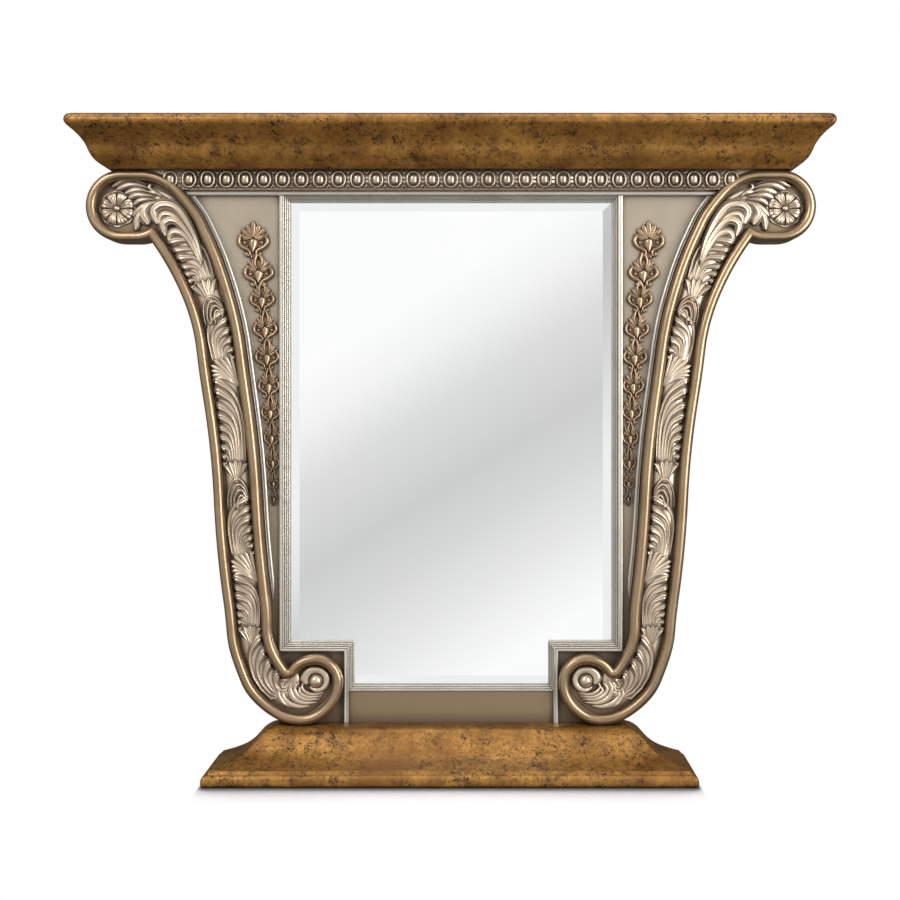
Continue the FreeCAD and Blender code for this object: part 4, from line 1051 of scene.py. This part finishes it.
def oval_ring(carving, x, z, wide, tall, wire, rise, power):
    """A raised oval ring."""
    a = turned(40)
    spread = (np.abs(np.cos(a)) ** power + np.abs(np.sin(a)) ** power) ** (-1 / power)
    b = np.linspace(0, math.pi, 9)
    out = wire * np.cos(b)
    rings = [ring(x + (wide * r + out) * math.cos(angle), carving.base - rise * np.sin(b) ** 0.8,
                  z + (tall * r + out) * math.sin(angle)) for angle, r in zip(a, spread)]
    carving.rings(rings, np.abs(np.cos(b)) ** 4, closed=True)


def barrel(carving, x, z, wide, tall, rise):
    """The long rounded bead that lies in an oval."""
    u = np.linspace(0, math.pi, 13)
    rings = []
    for spot in np.linspace(-1, 1, 15):
        size = max(1 - abs(spot) ** 3.2, 0.02) ** 0.5
        high = rise * size * np.sin(u) ** 0.75
        rings.append(ring(x + wide * size * np.cos(u), carving.base - high, z + tall * spot))
    carving.rings(rings, np.abs(np.cos(u)) ** 8)


def frieze():
    """Oval rings round barrel beads, tiny beads between them and scallops above and below."""
    low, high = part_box("frieze_ovals")
    board_low, board_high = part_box("frieze_board")
    middle = (low.z + high.z) / 2
    last = round(high.x / oval_spacing) + 1
    carving = Carving(high.y)
    carving.lobe(np.array([[-high.x, middle], [0, middle], [high.x, middle]]), **ground_look)
    for x in oval_spacing * np.arange(-last, last + 1):
        oval_ring(carving, x, middle, **oval_look)
        barrel(carving, x, middle, **barrel_look)
        for sign in (-1, 1):
            for across, up in end_pearls:
                carving.dome(x + across, middle + sign * up, cap(*end_pearl))
    for x in oval_spacing * (np.arange(-last, last) + 0.5):
        for up in gap_pearls:
            for sign in (-1, 1):
                carving.dome(x + sign * gap_pearl[0], middle + up, cap(*gap_pearl))
        for sign in (-1, 1):
            for spread in (-1, 0, 1):
                carving.stroke(scaled((x, middle), spandrel_leaf, spread, sign), 9, **spandrel_look)
    for x in (np.arange(-2 * last, 2 * last) + 0.5) * oval_spacing / 2:
        for sign, edge, over in ((1, board_high.z, upper_over), (-1, board_low.z, lower_over)):
            if abs(x) < high.x + over:
                carving.lobe(rounded_path(scaled((x, edge), scallop, 1, -sign), 11), **scallop_look)
                carving.dome(x, edge - sign * scallop_pearl_inset, cap(*scallop_pearl))
    carving.build("frieze_ovals", "pewter_frieze", "frieze_ovals")


# Sections of the two mouldings, as shares of run and height from the widest line in: smooth runs that
# meet in sharp corners. Their straight backs, in metres in and shares of the height, follow the boards.
cornice_run = 0.065
cornice_back = ((0.075, 0.0), (0.022, 1.0))
cornice_section_shares = (
    ((0.169, 1.000), (0.060, 0.965), (0.000, 0.879), (0.013, 0.805), (0.062, 0.752)),
    ((0.062, 0.752), (0.200, 0.668), (0.345, 0.560), (0.465, 0.430), (0.540, 0.300), (0.635, 0.175),
     (0.790, 0.070), (1.000, 0.000)),
)
base_run = 0.1163
base_back = ((0.1163, 0.778), (0.026, 0.0))
base_section_shares = (
    ((0.034, 0.000), (0.008, 0.045), (0.000, 0.125), (0.010, 0.205), (0.046, 0.256)),
    ((0.046, 0.256), (0.072, 0.262)),
    ((0.072, 0.262), (0.074, 0.292)),
    ((0.074, 0.292), (0.096, 0.298)),
    ((0.096, 0.298), (0.098, 0.326)),
    ((0.098, 0.326), (0.122, 0.332)),
    ((0.122, 0.332), (0.205, 0.362), (0.330, 0.415), (0.475, 0.495), (0.600, 0.610), (0.690, 0.735),
     (0.765, 0.850), (0.850, 0.935), (0.925, 0.980), (1.000, 1.000)),
)
sharp_angle = math.radians(24)


def moulding_section(shares, run, height, back):
    """Distance in from the widest line and height over the foot, round the whole section."""
    points = []
    for line in shares:
        count = 2 if len(line) == 2 else 7 * len(line)
        points += rounded_path(scaled((0, 0), line, run, height), count).tolist()[bool(points):]
    return np.array(points + [(d, w * height) for d, w in back])


def crisp(made):
    """Turns every face outward and keeps the moulding's corners sharp."""
    shell = bmesh.new()
    shell.from_mesh(made.data)
    bmesh.ops.recalc_face_normals(shell, faces=shell.faces)
    shell.to_mesh(made.data)
    shell.free()
    made.data.set_sharp_from_angle(angle=sharp_angle)


def moulding(kind, shares, run, back):
    """A front length and two returns, mitred where they meet and smooth along their sections."""
    low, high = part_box(kind + "_front")
    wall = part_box(kind + "_return_right")[1].y
    d, h = moulding_section(shares, run, high.z - low.z, back).T
    mitre = ring(high.x - d, low.y + d, low.z + h)
    square = ring(high.x - d, wall, low.z + h)
    over = (-1, 1, 1)
    for name, ends in (("_front", (mitre * over, mitre)), ("_return_right", (mitre, square)),
                       ("_return_left", (square * over, mitre * over))):
        carving = Carving()
        carving.rings(ends, 0.0)
        crisp(carving.build("moulded_" + kind + name, "mottled_gold", kind + name))


# Sections of the moulding round the mirror, in metres: distance out from the opening, height over the glass.
reed_width = 0.003
reed_heights = (0.0078, 0.0124, 0.0170)
reed_shares = ((0.02, -0.0016), (0.12, -0.0007), (0.32, -0.0001), (0.52, 0.0), (0.76, -0.0004),
               (0.92, -0.0013))
bar_section = (
    (0.0090, 0.0000), (0.0090, 0.0200), (0.0092, 0.0217), (0.0098, 0.0227), (0.0106, 0.0230),
    (0.0114, 0.0226), (0.0120, 0.0216), (0.0123, 0.0206), (0.0128, 0.0204), (0.0140, 0.0210),
    (0.0158, 0.0212), (0.0172, 0.0207), (0.0179, 0.0196), (0.0180, 0.0180), (0.0180, 0.0000))


def reeds_section():
    """Three rounded reeds that step up from the glass, with a quirk between each two."""
    points = [(0.0, 0.0)]
    for i, height in enumerate(reed_heights):
        points += [((i + u) * reed_width, height + down) for u, down in reed_shares]
    return points + [(len(reed_heights) * reed_width, 0.0)]


def sight_lengths():
    """The moulding round the mirror in eight lengths, mitred where they turn."""
    side_low, side_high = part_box("sight_side_right")
    post_low, post_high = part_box("notch_post_right")
    top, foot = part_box("sight_step_top")[0].z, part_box("sight_step_bottom")[1].z
    wide, narrow, shelf = side_low.x, post_low.x, post_high.z
    # Each corner: its x and z at the opening, and the way that x and z go from there outwards.
    upper = (wide, top, 1, 1)
    upper_left = (-wide, top, -1, 1)
    under_bar = (wide, side_high.z, 1, 0)
    corner = (wide, shelf, 1, -1)
    notch = (narrow, shelf, 1, -1)
    on_foot = (narrow, post_low.z, 1, 0)
    lower = (narrow, foot, 1, -1)
    lower_left = (-narrow, foot, -1, -1)

    def lay(name, node, mirrors, *runs):
        """Builds each run of a section between two corners, all in one piece."""
        for side, mirror in mirrors:
            carving = Carving()
            for section, *ends in runs:
                carving.rings([[(x + d * over, side_high.y - h, z + d * up) for d, h in section]
                               for x, z, over, up in ends], 0.0)
            crisp(carving.build(name + side, "silver_moulding", node + side, mirror))

    reeds, bar, single = reeds_section(), bar_section, (("", 1),)
    lay("reeded_side", "sight_side", sides, (reeds, corner, upper), (bar, corner, under_bar))
    lay("reeded_ledge", "notch_ledge", sides, (reeds, notch, corner), (bar, notch, corner))
    lay("reeded_post", "notch_post", sides, (reeds, lower, notch), (bar, on_foot, notch))
    lay("reeded_top", "sight_step_top", single, (reeds, upper_left, upper))
    lay("reeded_bottom", "sight_step_bottom", single, (reeds, lower_left, lower))


# The radius of the hanging rings' upper corners, in metres.
wire_corner = 0.003


def ring_line(half, drop):
    """A closed D in its own plane: a straight bar on top, short sides and a round bow below."""
    bends = ((half - wire_corner, -wire_corner, wire_corner, 90, 0), (0, half - drop, half, 0, -180),
             (wire_corner - half, -wire_corner, wire_corner, 180, 90))
    points = []
    for x, z, radius, start, stop in bends:
        for turn in np.radians(np.linspace(start, stop, 6 + abs(stop - start) // 10)):
            points.append([x + radius * math.cos(turn), z + radius * math.sin(turn)])
    return np.array(points)


def hanging_rings():
    """D rings of bent wire, each on the body that swings in its strap."""
    for side in ("right", "left"):
        low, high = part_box("hanger_ring_" + side)
        wire = (high.y - low.y) / 2
        x, y, z = (low.x + high.x) / 2, (low.y + high.y) / 2, high.z - wire
        line = ring_line((high.x - low.x) / 2 - wire, z - low.z - wire)
        along = np.roll(line, -1, axis=0) - np.roll(line, 1, axis=0)
        along /= np.linalg.norm(along, axis=1, keepdims=True)
        a = turned(14)
        carving = Carving()
        rings = [ring(x + p[0] - d[1] * wire * np.cos(a), y + wire * np.sin(a),
                      z + p[1] + d[0] * wire * np.cos(a)) for p, d in zip(line, along)]
        carving.rings(rings, 0.0, closed=True)
        carving.build("hanging_ring_" + side, "steel_plate", "hanger_ring_" + side, body="ring_" + side)


# A bumper's section from the wall plate out: shares of its radius and of its height.
bumper_shares = ((0.97, 0.0), (1.0, 0.08), (1.0, 0.55), (0.97, 0.80), (0.88, 0.94), (0.76, 1.0), (0.44, 0.99),
                 (0.34, 0.90), (0.28, 0.50), (0.01, 0.50))
bumper_radius = 0.011


def bumpers():
    """Round rubber feet on the back, dished round the pin that holds them."""
    low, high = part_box("wall_bumpers")
    a = -turned(40)
    carving = Carving()
    for x in (low.x + bumper_radius, high.x - bumper_radius):
        for z in (low.z + bumper_radius, high.z - bumper_radius):
            carving.rings([ring(x + bumper_radius * wide * np.cos(a), low.y + (high.y - low.y) * out,
                                z + bumper_radius * wide * np.sin(a)) for wide, out in bumper_shares], 0.0)
    carving.build("bumpers", "soft_rubber", "wall_bumpers")


# The floor: its size, its tones, the shadow painted into it near the object, and where it turns pure white.
floor_size = 60.0
floor_tones = ((0.80, 0.80, 0.80), (0.82, 0.82, 0.82))
floor_painted_shadow = (0.145, 0.145, 0.15)
floor_painted_shadow_reach = 0.15
white_depth = 0.10
white_scale = (16.0, 1.0, 0.0)
white_from = 0.01
white_to = 0.13


def floor():
    """A wide white floor, pure white to the camera away from the object and left out of reflections."""
    bpy.ops.mesh.primitive_plane_add(size=floor_size, location=(0, 0, 0))
    plane = bpy.context.object
    plane.name = "floor"
    m = Finish("floor_white")
    tone = m.blend(m.between(m.noise(2.0, 2.0, 0.4), 0.3, 0.7), *floor_tones)
    # Painted shadow: the floor's colour darkens where the object crowds in over it.
    tone = m.blend(m.crevices(floor_painted_shadow_reach, 1.0, 0.79), tone, floor_painted_shadow)
    m.finish(base_color=tone, roughness=0.8)
    beyond = m.add("ShaderNodeVectorMath", {0: m.place}, operation="ABSOLUTE")
    for step, amount in (("SUBTRACT", (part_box("base_front")[1].x, white_depth, 0.0)),
                         ("MAXIMUM", (0.0, 0.0, 0.0)), ("MULTIPLY", white_scale)):
        beyond = m.add("ShaderNodeVectorMath", {0: beyond.outputs["Vector"], 1: amount}, operation=step)
    away = m.add("ShaderNodeVectorMath", {0: beyond.outputs["Vector"]}, operation="LENGTH")
    path = m.add("ShaderNodeLightPath")
    seen = m.times(path.outputs["Is Camera Ray"], m.between(away.outputs["Value"], white_from, white_to))
    white = m.add("ShaderNodeEmission")
    mix = m.add("ShaderNodeMixShader", {"Fac": seen, 1: m.shader.outputs["BSDF"],
                                        2: white.outputs["Emission"]})
    clear = m.add("ShaderNodeBsdfTransparent")
    last = m.add("ShaderNodeMixShader", {"Fac": path.outputs["Is Glossy Ray"], 1: mix.outputs["Shader"],
                                         2: clear.outputs["BSDF"]})
    m.feed(last.outputs["Shader"], m.tree.nodes["Material Output"].inputs["Surface"])
    plane.data.materials.append(m.material)


def area_light(name, place, size, power, glossy=True):
    """A rectangular lamp that faces the middle of the mirror."""
    data = bpy.data.lights.new(name, "AREA")
    data.shape = "RECTANGLE"
    data.size, data.size_y = size
    data.energy = power
    lamp = bpy.data.objects.new(name, data)
    lamp.location = place
    lamp.rotation_euler = (Vector(lamp_target) - Vector(place)).to_track_quat("-Z", "Y").to_euler()
    lamp.visible_glossy = glossy
    bpy.context.scene.collection.objects.link(lamp)


# Greys of the wall that the mirror faces, along the way they change, and tones of the studio round it.
wall_way = (0.53, 0.0, -0.848)
wall_from = -0.10
wall_to = 0.20
wall_greys = ((0.05, 0.99), (0.16, 0.90), (0.28, 0.73), (0.45, 0.62), (0.57, 0.69), (0.69, 0.80),
              (0.86, 0.98))
studio_dark = (0.085, 0.078, 0.070)
studio_light = (0.95, 0.95, 0.95)
left_window = (-0.52, -0.70, 0.49)
right_window = (0.80, -0.55, 0.24)
front_way = (0, -1, 0)


def surroundings():
    """White to the camera; for light and reflections, a studio that is pale in front and darker round it."""
    world = bpy.data.worlds.new("studio")
    bpy.context.scene.world = world
    world.use_nodes = True
    w = NodeTree(world.node_tree)
    heading = w.add("ShaderNodeTexCoord").outputs["Generated"]

    def facing(way):
        """How far a direction points along a given way."""
        return w.add("ShaderNodeVectorMath", {0: heading, 1: way}, operation="DOT_PRODUCT").outputs["Value"]

    feeds = {"Value": facing(wall_way), "From Min": wall_from, "From Max": wall_to}
    lean = w.add("ShaderNodeMapRange", feeds)
    ramp = w.add("ShaderNodeValToRGB", {"Fac": lean.outputs["Result"]})
    steps = ramp.color_ramp.elements
    while len(steps) < len(wall_greys):
        steps.new(0.5)
    for step, (spot, grey) in zip(steps, wall_greys):
        step.position = spot
        step.color = (grey, grey, grey, 1)
    room = w.blend(w.between(facing(left_window), 0.15, 0.92), studio_dark, studio_light)
    room = w.blend(w.between(facing(right_window), 0.55, 0.95, 0.0, 0.6), room, studio_light)
    room = w.blend(w.between(facing(front_way), 0.80, 0.90), room, ramp.outputs["Color"])
    seen = w.blend(w.add("ShaderNodeLightPath").outputs["Is Camera Ray"], room, (1, 1, 1))
    shader = w.tree.nodes["Background"]
    w.feed(seen, shader.inputs["Color"])
    w.feed(1.0, shader.inputs["Strength"])


def camera():
    """A level camera square to the mirror, shifted to the photograph's vanishing point."""
    scene = bpy.context.scene
    data = bpy.data.cameras.new("camera")
    eye = bpy.data.objects.new("camera", data)
    scene.collection.objects.link(eye)
    eye.location = (camera_side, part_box("base_front")[0].y - camera_distance, camera_height)
    eye.rotation_euler = (math.pi / 2, 0, 0)
    data.sensor_width = sensor_width_mm
    data.lens = sensor_width_mm * camera_distance / (photo_width_px * pixel_width)
    half = photo_width_px / 2
    data.shift_x = (half - vanishing_px[0]) / photo_width_px
    data.shift_y = (vanishing_px[1] - half) / photo_width_px
    data.clip_end = camera_reach
    scene.camera = eye
    scene.view_settings.view_transform = "Standard"


# Lamps: place, size in metres, power, and whether they show in reflections.
lamp_target = (0, 0, 0.6)
lamps = {
    "key": ((-1.9, -2.6, 2.6), (1.6, 1.6), 48),
    "fill": ((2.5, -2.5, 1.3), (1.5, 2.6), 105),
    "top": ((0.0, -0.6, 3.2), (3.0, 1.2), 28),
    "back": ((0.0, 3.0, 1.5), (2.5, 1.5), 60, False),
}

paint_nodes()
acanthus()
stile_rims()
rosettes()
volutes()
palmette_drops()
panel_beads()
frieze()
moulding("cornice", cornice_section_shares, cornice_run, cornice_back)
moulding("base", base_section_shares, base_run, base_back)
sight_lengths()
hanging_rings()
bumpers()
floor()
surroundings()
for name, lamp in lamps.items():
    area_light(name, *lamp)
camera()
